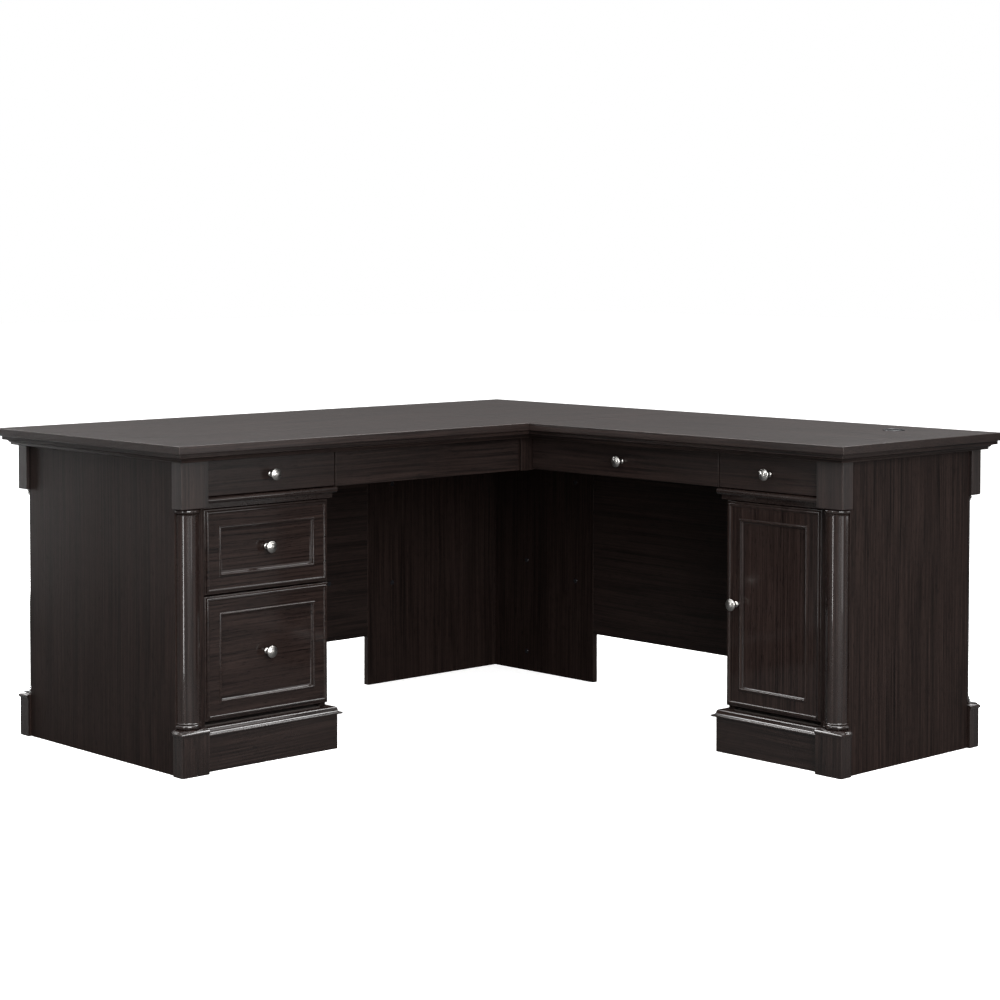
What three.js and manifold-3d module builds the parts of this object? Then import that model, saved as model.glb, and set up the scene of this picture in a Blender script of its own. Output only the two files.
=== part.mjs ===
// An L-shaped corner desk: a main wing and a return wing, each ending in a pedestal with corner
// columns. Millimetres, +Z up. The origin is under the middle of the desk, on the floor.
//
// Each wing is drawn in the same plan: x runs along the wing and is 0 at the desk's outside corner,
// y runs from front (negative) to the outside back edge (0). The return wing is the same plan with
// x and y exchanged, so its fronts look the other way along the floor.
import * as THREE from "three";
import { mergeVertices } from "three/addons/utils/BufferGeometryUtils.js";
import Module from "manifold-3d";

// ---- Overall sizes ----
const HEIGHT = 752;
const MAIN_LENGTH = 1668;
const MAIN_DEPTH = 756;
const RETURN_LENGTH = 1748;
const RETURN_DEPTH = 602;
const MAIN_PEDESTAL_WIDTH = 463;
const RETURN_PEDESTAL_WIDTH = 388;

// ---- Tops and the cornice under them ----
const TOP_THICKNESS = 19;
const TOP_EASING = 2.5;
const CORNICE_HEIGHT = 21;
const CORNICE_SETBACK = 8.5;
const CORNICE_FASCIA = 9;
const END_OVERHANG = 43.5;
const FRONT_OVERHANG = 54.5;
const BACK_OVERHANG = 26;

// ---- Pilasters: a square block, a half-round column and a plinth block at each corner ----
const BLOCK_WIDTH = 75;
const PILASTER_DEPTH = 36;
const BLOCK_PROUD = 7.5;
const FRIEZE_BLOCK_HEIGHT = 109;
const PLINTH_BLOCK_HEIGHT = 106;
const BLOCK_CHAMFER = 1.5;
const COLUMN_DIAMETER = 58;
const RING_DIAMETER = 66;
const RING_HEIGHT = 15;
const COLUMN_INSET = 40;
const COLUMN_SEGMENTS = 32;

// ---- Boards ----
const PANEL = 18;
const THIN_PANEL = 16;
const FRIEZE_SETBACK = 20;
const SIDE_SETBACK = 10;
const STILE_WIDTH = 14;
const STILE_BEAD = 4;
const GAP = 0.3;
const MITRE_LAP = 0.1;

// ---- Plinth and rails ----
const PLINTH_HEIGHT = 84;
const BASE_MOULDING_HEIGHT = 17;
const BASE_MOULDING_PROUD = 9;
const BASE_MOULDING_LIP = 4;
const RAIL_DROP = 127;
const BEAD_RADIUS = 7.2;
const BEAD_PROUD = 3.5;
const RAIL_STEP = 13;
const BOTTOM_PANEL_LEVEL = 84;

// ---- Fronts ----
const FRONT_THICKNESS = 16;
const FRONT_REVEAL = 3;
const BUFFER_DEPTH = 1.5;
const FRAME_WIDTH = 40;
const FRAME_SINK = 3.5;
const INNER_BEAD = 12;
const PANEL_RECESS = 7;
const LOWER_FRONT_BOTTOM = 110;
const LOWER_FRONT_CLEARANCE = 2.6;
const MIDDLE_FRONT_HEIGHT = 195.5;
const TOP_FRONT_CLEARANCE = 3.5;

// ---- Drawers ----
const DRAWER_SIDE = 12;
const DRAWER_BOTTOM = 8;
const SLIDE_CLEARANCE = 13;
const MAIN_DRAWER_REAR_ROOM = 71.2;
const RETURN_DRAWER_REAR_ROOM = 87.2;
const TOP_DRAWER_HEIGHT = 58;
const MIDDLE_DRAWER_HEIGHT = 140;
const FILE_DRAWER_HEADROOM = 71.5;
const DRAWER_LIFT = 10;

// ---- Keyboard tray ----
const TRAY_LENGTH = 320;
const TRAY_HEIGHT = 46;
const TRAY_LIFT = 12;
const TRAY_SIDE_ROOM = 30;
const TRAY_FRONT_GAP = 2.5;
const PIVOT_INSET = 5;
const PIVOT_RADIUS = 2.4;
const PIVOT_THICKNESS = 3;
const PIVOT_FROM_END = 18;
const PIVOT_HEEL = 20;

// ---- Knobs and hinges ----
const KNOB_DIAMETER = 28;
const KNOB_LENGTH = 27;
const KNOB_SEGMENTS = 24;
const DOOR_KNOB_INSET = 30;
const HINGE_CUP_DIAMETER = 35;
const HINGE_CUP_DEPTH = 11;
const HINGE_PLATE = 3;
const HINGE_INSET = 23;
const HINGE_END_DISTANCE = 80;
const ROUND_SEGMENTS = 24;

// ---- Knee space ----
const FILLER_WIDTH = 37;
const FILLER_PROUD = 8.5;
const MODESTY_SETBACK = 89;
const MODESTY_BOTTOM = 134;
const MAIN_LEG_LENGTH = 477;
const RETURN_LEG_LENGTH = 391;
const SHELF_LEVEL = 350;
const SHELF_SETBACK = 30;

// ---- Cable grommet in the return top ----
const GROMMET_HOLE = 46;
const GROMMET_BORE = 40;
const GROMMET_FLANGE = 54;
const GROMMET_FLANGE_HEIGHT = 2.5;
const GROMMET_FROM_END = 219;
const GROMMET_FROM_BACK = 133;
const GROMMET_SEGMENTS = 32;

// ---- Levels that follow from the sizes above ----
const TOP_UNDERSIDE = HEIGHT - TOP_THICKNESS;
const CARCASE_TOP = TOP_UNDERSIDE - GAP;
const FRIEZE_TOP = TOP_UNDERSIDE - CORNICE_HEIGHT;
const FRIEZE_BLOCK_BOTTOM = FRIEZE_TOP - FRIEZE_BLOCK_HEIGHT;
const RAIL_TOP = HEIGHT - RAIL_DROP;
const RAIL_BEAD_BOTTOM = RAIL_TOP - 2 * BEAD_RADIUS;
const RAIL_BOTTOM = RAIL_BEAD_BOTTOM - RAIL_STEP;
const PLINTH_TOP = PLINTH_HEIGHT + BASE_MOULDING_HEIGHT;
const LOWER_FRONT_TOP = RAIL_BOTTOM - LOWER_FRONT_CLEARANCE;
const FILE_FRONT_TOP = LOWER_FRONT_TOP - MIDDLE_FRONT_HEIGHT - FRONT_REVEAL;
const FILE_DRAWER_HEIGHT = FILE_FRONT_TOP - LOWER_FRONT_BOTTOM - FILE_DRAWER_HEADROOM;
const TOP_FRONT_BOTTOM = RAIL_TOP + 2;
const TOP_FRONT_TOP = FRIEZE_TOP - TOP_FRONT_CLEARANCE;

const wasm = await Module();
wasm.setup();

// ---- Finishes ----
const FINISHES = {
  wood: { color: 0x2c2422, roughness: 0.38, metalness: 0 },
  interior: { color: 0x37302d, roughness: 0.6, metalness: 0 },
  nickel: { color: 0xc4c1bc, roughness: 0.3, metalness: 1 },
  steel: { color: 0x9b9da0, roughness: 0.4, metalness: 1 },
  plastic: { color: 0x15151a, roughness: 0.5, metalness: 0 },
};

function addPiece(group, name, geometry, finish) {
  const mesh = new THREE.Mesh(geometry, new THREE.MeshStandardMaterial(FINISHES[finish]));
  mesh.name = name;
  group.add(mesh);
}

// ---- Solids from three.js geometry, and back ----
function solidOf(geometry) {
  const bare = geometry.clone();
  bare.deleteAttribute("normal");
  bare.deleteAttribute("uv");
  const merged = mergeVertices(bare, 1e-3);
  return new wasm.Manifold(
    new wasm.Mesh({
      numProp: 3,
      vertProperties: new Float32Array(merged.attributes.position.array),
      triVerts: new Uint32Array(merged.index.array),
    }),
  );
}

function geometryOf(solid) {
  const mesh = solid.getMesh();
  const geometry = new THREE.BufferGeometry();
  geometry.setAttribute("position", new THREE.BufferAttribute(mesh.vertProperties, 3));
  geometry.setIndex(new THREE.BufferAttribute(mesh.triVerts, 1));
  geometry.computeVertexNormals();
  return geometry;
}

// ---- Shapes ----
// A box from its lowest and highest corners.
function block(x0, x1, y0, y1, z0, z1) {
  const geometry = new THREE.BoxGeometry(x1 - x0, y1 - y0, z1 - z0);
  return geometry.translate((x0 + x1) / 2, (y0 + y1) / 2, (z0 + z1) / 2);
}

// A stack of rectangles { z, x0, x1, y0, y1 } joined by sloping sides.
function loft(sections) {
  const corners = sections.flatMap(({ z, x0, x1, y0, y1 }) => [
    ...[x0, y0, z],
    ...[x1, y0, z],
    ...[x1, y1, z],
    ...[x0, y1, z],
  ]);
  const faces = [0, 2, 1, 0, 3, 2];
  const top = 4 * (sections.length - 1);
  for (let ring = 0; ring < top; ring += 4) {
    for (let side = 0; side < 4; side++) {
      const here = ring + side;
      const next = ring + ((side + 1) % 4);
      faces.push(here, next, next + 4, here, next + 4, here + 4);
    }
  }
  faces.push(top, top + 1, top + 2, top, top + 2, top + 3);
  const geometry = new THREE.BufferGeometry();
  geometry.setAttribute("position", new THREE.Float32BufferAttribute(corners, 3));
  geometry.setIndex(faces);
  geometry.computeVertexNormals();
  return geometry;
}

// The same shape with x and y exchanged, its faces still pointing out.
function swapPlan(geometry) {
  const swapped = geometry.index ? geometry.toNonIndexed() : geometry.clone();
  const points = swapped.attributes.position;
  const source = points.clone();
  for (let first = 0; first < points.count; first += 3) {
    [0, 2, 1].forEach((from, to) => {
      const k = first + from;
      points.setXYZ(first + to, source.getY(k), source.getX(k), source.getZ(k));
    });
  }
  swapped.computeVertexNormals();
  return swapped;
}

// A moulding along x, from an outline of [y, z] points. Each end is cut square where its slope
// is 0, and mitred where it is 1 or -1: the end moves by slope times y.
function moulding(outline, start, end, startSlope = 0, endSlope = 0) {
  const shape = new THREE.Shape(outline.map(([y, z]) => new THREE.Vector2(y, z)));
  const geometry = new THREE.ExtrudeGeometry(shape, { depth: 1, bevelEnabled: false });
  const points = geometry.attributes.position;
  for (let i = 0; i < points.count; i++) {
    const y = points.getX(i);
    const atStart = points.getZ(i) < 0.5;
    const x = atStart ? start + startSlope * y : end + endSlope * y;
    points.setXYZ(i, x, y, points.getY(i));
  }
  geometry.computeVertexNormals();
  return geometry;
}

// Points on an arc about (y, z), from one angle to another in degrees.
function arc(y, z, radius, from, to, steps) {
  return Array.from({ length: steps + 1 }, (_, i) => {
    const angle = THREE.MathUtils.degToRad(from + ((to - from) * i) / steps);
    return [y + radius * Math.cos(angle), z + radius * Math.sin(angle)];
  });
}

// ---- Reference lines of one wing, in its own plan ----
function linesOf({ length, depth, pedestalWidth }) {
  const endFace = -length + END_OVERHANG;
  const frontFace = -depth + FRONT_OVERHANG;
  const innerFace = endFace + pedestalWidth;
  const innerPanel = innerFace - SIDE_SETBACK;
  return {
    endFace,
    frontFace,
    innerFace,
    innerPanel,
    backFace: -BACK_OVERHANG,
    endPanel: endFace + BLOCK_PROUD,
    frieze: frontFace + FRIEZE_SETBACK,
    body: frontFace + PILASTER_DEPTH,
    back: -BACK_OVERHANG - PILASTER_DEPTH,
    lowerFrontStart: endFace + BLOCK_WIDTH + STILE_WIDTH + FRONT_REVEAL,
    lowerFrontEnd: innerPanel - FRONT_REVEAL,
    topFrontStart: endFace + BLOCK_WIDTH + 2,
    topFrontEnd: innerFace - 2 * FRONT_REVEAL,
    boxStart: endFace + BLOCK_WIDTH + STILE_WIDTH + SLIDE_CLEARANCE,
    boxEnd: innerPanel - THIN_PANEL - SLIDE_CLEARANCE,
  };
}

// ---- Tops: boards with a small rounding at the upper edge ----
function topBoard(x0, x1, y0, y1) {
  const easing = [
    [0, 1],
    [1, 0],
    [TOP_THICKNESS - TOP_EASING, 0],
    [TOP_THICKNESS - 0.3 * TOP_EASING, 0.3 * TOP_EASING],
    [TOP_THICKNESS, TOP_EASING],
  ];
  const sections = easing.map(([rise, inset]) => ({
    z: TOP_UNDERSIDE + rise,
    x0: x0 + inset,
    x1: x1 - inset,
    y0: y0 + inset,
    y1: y1 - inset,
  }));
  return loft(sections);
}

// ---- Cornice: a fascia, a cove and a flat soffit that runs back to the carcase ----
function corniceOutline(innerSetback) {
  const top = TOP_UNDERSIDE - GAP;
  const bottom = FRIEZE_TOP;
  const fasciaBottom = TOP_UNDERSIDE - CORNICE_FASCIA;
  const coveDepth = 12;
  const coveHeight = fasciaBottom - bottom - 6;
  const nose = CORNICE_SETBACK + coveDepth + 3;
  const cove = [];
  for (let step = 0; step <= 4; step++) {
    const angle = (step / 4) * (Math.PI / 2);
    const y = CORNICE_SETBACK + 1.5 + coveDepth * Math.sin(angle) * 0.9;
    cove.push([y, fasciaBottom - coveHeight * (1 - Math.cos(angle))]);
  }
  return [
    [CORNICE_SETBACK, top],
    [CORNICE_SETBACK, fasciaBottom],
    ...cove,
    [nose, bottom + 6],
    [nose, bottom + 1.5],
    [nose + 1.5, bottom],
    [innerSetback, bottom],
    [innerSetback, top],
  ];
}

function frontCornice(wing, otherDepth) {
  const outline = corniceOutline(FRONT_OVERHANG + PILASTER_DEPTH - GAP);
  const strip = moulding(outline, -wing.length, -otherDepth - GAP, 1, 1);
  return strip.translate(0, -wing.depth, 0);
}

function endCornice(wing) {
  const outline = corniceOutline(END_OVERHANG + BLOCK_PROUD - GAP);
  const strip = moulding(outline, -wing.depth + GAP, -GAP, 1, -1);
  return swapPlan(strip).translate(-wing.length, 0, 0);
}

function backCornice() {
  const outline = corniceOutline(BACK_OVERHANG + PILASTER_DEPTH - GAP);
  const along = (length) => {
    const strip = moulding(outline, -length, MITRE_LAP, 1, -1);
    return reverseFaces(strip.scale(1, -1, 1));
  };
  const mainStrip = solidOf(along(MAIN_LENGTH));
  const returnStrip = solidOf(swapPlan(along(RETURN_LENGTH)));
  return geometryOf(mainStrip.add(returnStrip));
}

// ---- Pilasters ----
// A block with insets [z, inset] up its height on every side but the one against the carcase. A
// moulding that stands out, with a negative inset, stops at the side that meets the base board.
function pilasterBlock(endFace, face, direction, levels) {
  const sections = levels.map(([z, inset]) => {
    const outer = face + direction * inset;
    const inner = face + direction * (PILASTER_DEPTH - GAP);
    return {
      z,
      x0: endFace + inset,
      x1: endFace + BLOCK_WIDTH - Math.max(inset, 0),
      y0: Math.min(outer, inner),
      y1: Math.max(outer, inner),
    };
  });
  return loft(sections);
}

function friezeBlock(endFace, face, direction) {
  return pilasterBlock(endFace, face, direction, [
    [FRIEZE_BLOCK_BOTTOM + GAP, BLOCK_CHAMFER],
    [FRIEZE_BLOCK_BOTTOM + GAP + BLOCK_CHAMFER, 0],
    [FRIEZE_TOP - GAP, 0],
  ]);
}

function plinthBlock(endFace, face, direction) {
  return pilasterBlock(endFace, face, direction, [
    [0, 0],
    [PLINTH_BLOCK_HEIGHT - 14, 0],
    [PLINTH_BLOCK_HEIGHT - 12, -2.5],
    [PLINTH_BLOCK_HEIGHT - 8, -3.5],
    [PLINTH_BLOCK_HEIGHT - 5, -1.5],
    [PLINTH_BLOCK_HEIGHT - 3, 2],
    [PLINTH_BLOCK_HEIGHT, 3.5],
  ]);
}

// A turned column with a ring at each end, split down its middle to lie against the carcase.
function column(endFace, bodyLine, direction) {
  const bottom = PLINTH_BLOCK_HEIGHT + GAP;
  const top = FRIEZE_BLOCK_BOTTOM;
  const shaft = COLUMN_DIAMETER / 2;
  const ring = RING_DIAMETER / 2;
  const profile = [
    [0, bottom],
    [ring - 3, bottom],
    [ring - 0.8, bottom + 2],
    [ring, bottom + 0.35 * RING_HEIGHT],
    [ring - 0.8, bottom + 0.6 * RING_HEIGHT],
    [ring - 3.5, bottom + 0.75 * RING_HEIGHT],
    [shaft + 1, bottom + RING_HEIGHT],
    [shaft, bottom + RING_HEIGHT + 3],
    [shaft, top - RING_HEIGHT],
    [shaft + 1, top - 0.8 * RING_HEIGHT],
    [shaft + 1, top - 0.6 * RING_HEIGHT],
    [ring - 1, top - 0.45 * RING_HEIGHT],
    [ring, top - 0.25 * RING_HEIGHT],
    [ring - 1.5, top],
    [0, top],
  ].map(([radius, z]) => new THREE.Vector2(radius, z));
  const turned = new THREE.LatheGeometry(profile, COLUMN_SEGMENTS);
  turned.rotateX(Math.PI / 2);
  turned.translate(endFace + COLUMN_INSET, bodyLine, 0);
  const cut = bodyLine - direction * GAP;
  const beyond = bodyLine + direction * RING_DIAMETER;
  const keepOut = block(
    endFace,
    endFace + BLOCK_WIDTH,
    Math.min(cut, beyond),
    Math.max(cut, beyond),
    0,
    HEIGHT,
  );
  return geometryOf(solidOf(turned).subtract(solidOf(keepOut)));
}

// ---- Carcase boards ----
function frontStile(line) {
  const board = block(
    line.endPanel + PANEL + GAP,
    line.endFace + BLOCK_WIDTH,
    line.body + GAP,
    line.body + PANEL,
    0,
    CARCASE_TOP,
  );
  const strip = block(
    line.endFace + BLOCK_WIDTH - 1,
    line.endFace + BLOCK_WIDTH + STILE_WIDTH,
    line.body + STILE_BEAD / 2,
    line.body + PANEL,
    PLINTH_TOP,
    RAIL_BOTTOM - GAP,
  );
  const radius = STILE_BEAD / 2;
  const length = RAIL_BOTTOM - GAP - PLINTH_TOP;
  let stile = solidOf(board).add(solidOf(strip));
  for (const edge of [BLOCK_WIDTH, BLOCK_WIDTH + STILE_WIDTH - STILE_BEAD]) {
    const bead = new THREE.CylinderGeometry(radius, radius, length, 12);
    bead.rotateX(Math.PI / 2);
    bead.translate(line.endFace + edge + radius, line.body + radius, PLINTH_TOP + length / 2);
    stile = stile.add(solidOf(bead));
  }
  return geometryOf(stile);
}

// The panel beside the knee space: it steps forward behind the plinth and behind the frieze.
function innerPanel(line) {
  const forward = line.body + GAP;
  const behindTopFront = line.frieze + FRONT_THICKNESS + GAP;
  const behindFronts = line.body + FRONT_THICKNESS + BUFFER_DEPTH;
  const outline = [
    [forward, 0],
    [line.back, 0],
    [line.back, CARCASE_TOP],
    [behindTopFront, CARCASE_TOP],
    [behindTopFront, RAIL_TOP + GAP],
    [behindFronts, RAIL_TOP + GAP],
    [behindFronts, PLINTH_TOP],
    [forward, PLINTH_TOP],
  ];
  return moulding(outline, line.innerPanel - THIN_PANEL, line.innerPanel);
}

// ---- Plinth board with its moulding, along the front and back along the knee space ----
function baseBoard(line) {
  const lip = BASE_MOULDING_LIP;
  const cove = BASE_MOULDING_PROUD - lip / 4;
  const z = PLINTH_HEIGHT;
  const outlineTo = (depth) => {
    const round = Math.min(depth, PLINTH_TOP - z - lip - cove);
    return [
      [0, 0],
      [0, z],
      [-BASE_MOULDING_PROUD + lip / 4, z],
      [-BASE_MOULDING_PROUD, z + lip / 4],
      [-BASE_MOULDING_PROUD, z + lip - lip / 4],
      ...arc(-cove, z + lip + cove, cove, 270, 360, 8),
      ...arc(round, PLINTH_TOP - GAP - round, round, 180, 90, 6),
      [depth, PLINTH_TOP - GAP],
      [depth, 0],
    ];
  };
  const start = line.endFace + BLOCK_WIDTH + GAP;
  const front = moulding(outlineTo(PILASTER_DEPTH - FRIEZE_SETBACK - GAP), start, line.innerFace, 0, -1);
  front.translate(0, line.frieze, 0);
  const side = moulding(outlineTo(SIDE_SETBACK - GAP), line.frieze - MITRE_LAP, line.back, 1, 0);
  const sideRun = swapPlan(side);
  sideRun.scale(-1, 1, 1);
  const turnedSide = reverseFaces(sideRun).translate(line.innerFace, 0, 0);
  return geometryOf(solidOf(front).add(solidOf(turnedSide)));
}

// Turns each face of a non-indexed shape round, after a mirroring scale.
function reverseFaces(geometry) {
  const points = geometry.attributes.position;
  const source = points.clone();
  for (let first = 0; first < points.count; first += 3) {
    points.setXYZ(first + 1, source.getX(first + 2), source.getY(first + 2), source.getZ(first + 2));
    points.setXYZ(first + 2, source.getX(first + 1), source.getY(first + 1), source.getZ(first + 1));
  }
  geometry.computeVertexNormals();
  return geometry;
}

// ---- Rail with a half-round bead, between the top drawer and what is below ----
function beadRail(line) {
  const centre = line.frieze - BEAD_PROUD + BEAD_RADIUS;
  const back = line.body + FRONT_THICKNESS + BUFFER_DEPTH - GAP;
  const outline = [
    ...arc(centre, RAIL_TOP - BEAD_RADIUS, BEAD_RADIUS, 90, 270, 8),
    [line.body + 1, RAIL_BEAD_BOTTOM],
    [line.body + 1, RAIL_BOTTOM],
    [back, RAIL_BOTTOM],
    [back, RAIL_TOP],
  ];
  return moulding(outline, line.endFace + BLOCK_WIDTH + GAP, line.innerFace);
}

// ---- Fronts ----
// A flat front with eased edges. It lies in the x-z plane with its face at y = face.
function flatFront(x0, x1, z0, z1, face) {
  const levels = [
    [FRONT_THICKNESS - GAP, 0],
    [2, 0],
    [0.6, 0.6],
    [0, 2],
  ];
  return frontFromLevels(x0, x1, z0, z1, face, levels);
}

// A framed front: a rounded arris, a quirk and an ovolo round the edge, a flat frame sunk a little,
// then a bead and a cove down to the panel.
function framedFront(x0, x1, z0, z1, face) {
  const inner = FRAME_WIDTH;
  const levels = [
    [FRONT_THICKNESS, 0],
    [7, 0],
    [5.5, 0.4],
    [4.6, 1.3],
    [4.3, 2.6],
    [5.2, 3.2],
    [5.2, 4],
    [3.2, 4.5],
    [1.7, 5.6],
    [0.7, 7.2],
    [0.4, 8.8],
    [1, 10.2],
    [2, 11.4],
    [FRAME_SINK, 12.4],
    [FRAME_SINK, inner],
    [2.2, inner + 0.4],
    [1, inner + 1.3],
    [0.3, inner + 2.5],
    [0, inner + 3.6],
    [0.3, inner + 4.6],
    [1.1, inner + 5.4],
    [2, inner + 5.7],
    [3.2, inner + 6.6],
    [4.6, inner + 8.2],
    [5.9, inner + 10],
    [6.7, inner + 11.3],
    [PANEL_RECESS, inner + INNER_BEAD],
  ];
  return frontFromLevels(x0, x1, z0, z1, face, levels);
}

// Rectangles { depth behind the face, inset from the edge }, stacked from the back to the face.
function frontFromLevels(x0, x1, z0, z1, face, levels) {
  const sections = levels.map(([depth, inset]) => ({
    z: -depth,
    x0: x0 + inset,
    x1: x1 - inset,
    y0: z0 + inset,
    y1: z1 - inset,
  }));
  return loft(sections).rotateX(Math.PI / 2).translate(0, face, 0);
}

// ---- Drawer box: a tray open at the top ----
function drawerBox(x0, x1, y0, y1, z0, height, side = DRAWER_SIDE) {
  const outside = block(x0, x1, y0, y1, z0, z0 + height);
  const inside = block(
    x0 + side,
    x1 - side,
    y0 + side,
    y1 - side,
    z0 + DRAWER_BOTTOM,
    z0 + height + 1,
  );
  return geometryOf(solidOf(outside).subtract(solidOf(inside)));
}

// ---- Knob: a turned mushroom on a stem, standing out of a face at y = face ----
function knob(x, face, z) {
  const radius = KNOB_DIAMETER / 2;
  const profile = [
    [0, 0],
    [8.5, 0],
    [8.5, 1.6],
    [5.6, 4],
    [4.8, 9],
    [6, KNOB_LENGTH - 13],
    [radius - 2.5, KNOB_LENGTH - 11],
    [radius, KNOB_LENGTH - 8.5],
    [radius, KNOB_LENGTH - 6],
    [radius - 1.5, KNOB_LENGTH - 4.2],
    [radius - 5, KNOB_LENGTH - 1.5],
    [0, KNOB_LENGTH],
  ].map(([r, h]) => new THREE.Vector2(r, h));
  const turned = new THREE.LatheGeometry(profile, KNOB_SEGMENTS);
  turned.rotateX(Math.PI);
  return turned.translate(x, face - GAP, z);
}

// ---- Concealed hinge: a cup let into the door, with its plate and the stub of its arm ----
function hingeCup(x, face, z) {
  const cup = new THREE.CylinderGeometry(
    HINGE_CUP_DIAMETER / 2,
    HINGE_CUP_DIAMETER / 2,
    HINGE_CUP_DEPTH,
    ROUND_SEGMENTS,
  ).translate(x, face - HINGE_CUP_DEPTH / 2 + 0.5, z);
  const plate = block(x - 9, x + 9, face + GAP, face + HINGE_PLATE, z - 26, z + 26);
  const stub = block(x - 8, x + 7, face + 1, face + 12, z - 10, z + 10);
  return geometryOf(solidOf(cup).add(solidOf(plate)).add(solidOf(stub)));
}

function hingePocket(x, face, z) {
  const radius = HINGE_CUP_DIAMETER / 2 + GAP;
  const depth = HINGE_CUP_DEPTH + GAP;
  const pocket = new THREE.CylinderGeometry(radius, radius, depth + 1, ROUND_SEGMENTS);
  return pocket.translate(x, face - depth / 2 + 0.5, z);
}

// The notch in the back lower edge of the drop front that a pivot arm turns in.
function pivotNotch(x, y, z) {
  const reach = PIVOT_RADIUS + GAP;
  const half = PIVOT_THICKNESS / 2 + GAP;
  return block(x - half, x + half, y - reach, y + FRONT_THICKNESS, z - PIVOT_INSET - 1, z + reach);
}

// A steel arm under the tray that ends in a round eye on the drop front's axis.
function pivotArm(x, y, z, trayFront, trayBottom) {
  const half = PIVOT_THICKNESS / 2;
  const heel = trayFront + PIVOT_HEEL;
  const eye = new THREE.CylinderGeometry(PIVOT_RADIUS, PIVOT_RADIUS, PIVOT_THICKNESS, ROUND_SEGMENTS);
  eye.rotateZ(Math.PI / 2);
  eye.translate(x, y, z);
  const arm = block(x - half, x + half, y, heel, z - PIVOT_RADIUS, z + PIVOT_RADIUS);
  const riser = block(x - half, x + half, trayFront + GAP, heel, z, trayBottom + 1);
  return solidOf(eye).add(solidOf(arm)).add(solidOf(riser));
}

// ---- One pedestal's fixed parts ----
function addPedestal(group, side, wing) {
  const line = linesOf(wing);
  const piece = (name, geometry, finish = "wood") => addPiece(group, side + "_" + name, geometry, finish);
  piece(
    "end_panel",
    block(line.endPanel, line.endPanel + PANEL, line.body + GAP, line.back - GAP, 0, CARCASE_TOP),
  );
  piece("inner_panel", innerPanel(line));
  piece(
    "back_panel",
    block(
      line.endPanel + PANEL + GAP,
      line.innerPanel - THIN_PANEL - GAP,
      line.back - THIN_PANEL,
      line.back - GAP,
      0,
      CARCASE_TOP,
    ),
  );
  piece(
    "bottom_panel",
    block(
      line.endPanel + PANEL + GAP,
      line.innerPanel - THIN_PANEL - GAP,
      line.body + PANEL + GAP,
      line.back - THIN_PANEL - GAP,
      BOTTOM_PANEL_LEVEL,
      BOTTOM_PANEL_LEVEL + THIN_PANEL,
    ),
    "interior",
  );
  piece("front_stile", frontStile(line));
  piece("front_column", column(line.endFace, line.body, 1));
  piece("back_column", column(line.endFace, line.back, -1));
  piece("front_frieze_block", friezeBlock(line.endFace, line.frontFace, 1));
  piece("back_frieze_block", friezeBlock(line.endFace, line.backFace, -1));
  piece("front_plinth_block", plinthBlock(line.endFace, line.frontFace, 1));
  piece("back_plinth_block", plinthBlock(line.endFace, line.backFace, -1));
  piece("base_board", baseBoard(line));
  piece("bead_rail", beadRail(line));
}

// ---- A drawer: its front, its box and its knob ----
// A box fills a pedestal's depth up to some room at the rear for its slides.
function drawerLength(line, rearRoom) {
  return line.back - THIN_PANEL - rearRoom - (line.body + FRONT_THICKNESS + GAP);
}

function addDrawer(group, name, line, front, boxLength, boxHeight) {
  const x = (front.x0 + front.x1) / 2;
  const boxFront = front.face + FRONT_THICKNESS + GAP;
  const face = front.framed ? framedFront : flatFront;
  addPiece(group, name + "_front", face(front.x0, front.x1, front.z0, front.z1, front.face), "wood");
  addPiece(
    group,
    name + "_box",
    drawerBox(line.boxStart, line.boxEnd, boxFront, boxFront + boxLength, front.z0 + DRAWER_LIFT, boxHeight),
    "interior",
  );
  const knobFace = front.framed ? front.face + PANEL_RECESS : front.face;
  addPiece(group, name + "_knob", knob(x, knobFace, (front.z0 + front.z1) / 2), "nickel");
}

function topDrawerFront(line) {
  return {
    x0: line.topFrontStart,
    x1: line.topFrontEnd,
    z0: TOP_FRONT_BOTTOM,
    z1: TOP_FRONT_TOP,
    face: line.frieze,
    framed: false,
  };
}

function lowerFront(line, z0, z1) {
  return { x0: line.lowerFrontStart, x1: line.lowerFrontEnd, z0, z1, face: line.body, framed: true };
}

// ---- The desk ----
const mainWing = { length: MAIN_LENGTH, depth: MAIN_DEPTH, pedestalWidth: MAIN_PEDESTAL_WIDTH };
const returnWing = { length: RETURN_LENGTH, depth: RETURN_DEPTH, pedestalWidth: RETURN_PEDESTAL_WIDTH };
const mainLine = linesOf(mainWing);
const returnLine = linesOf(returnWing);

const desk = new THREE.Group();
desk.position.set(MAIN_LENGTH / 2, RETURN_LENGTH / 2, 0);
const main = new THREE.Group();
const back = new THREE.Group();
const side = new THREE.Group();
side.matrix.set(0, 1, 0, 0, 1, 0, 0, 0, 0, 0, 1, 0, 0, 0, 0, 1);
side.matrixAutoUpdate = false;
desk.add(main, back, side);

// Tops
addPiece(main, "main_top", topBoard(-MAIN_LENGTH, 0, -MAIN_DEPTH, 0), "wood");
const grommetX = -RETURN_LENGTH + GROMMET_FROM_END;
const grommetY = -GROMMET_FROM_BACK;
const holeRadius = GROMMET_HOLE / 2;
const hole = new THREE.CylinderGeometry(holeRadius, holeRadius, 3 * TOP_THICKNESS, GROMMET_SEGMENTS);
hole.rotateX(Math.PI / 2).translate(grommetX, grommetY, HEIGHT);
const returnTop = solidOf(topBoard(-RETURN_LENGTH, -MAIN_DEPTH - GAP, -RETURN_DEPTH, 0));
addPiece(side, "return_top", geometryOf(returnTop.subtract(solidOf(hole))), "wood");

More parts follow.
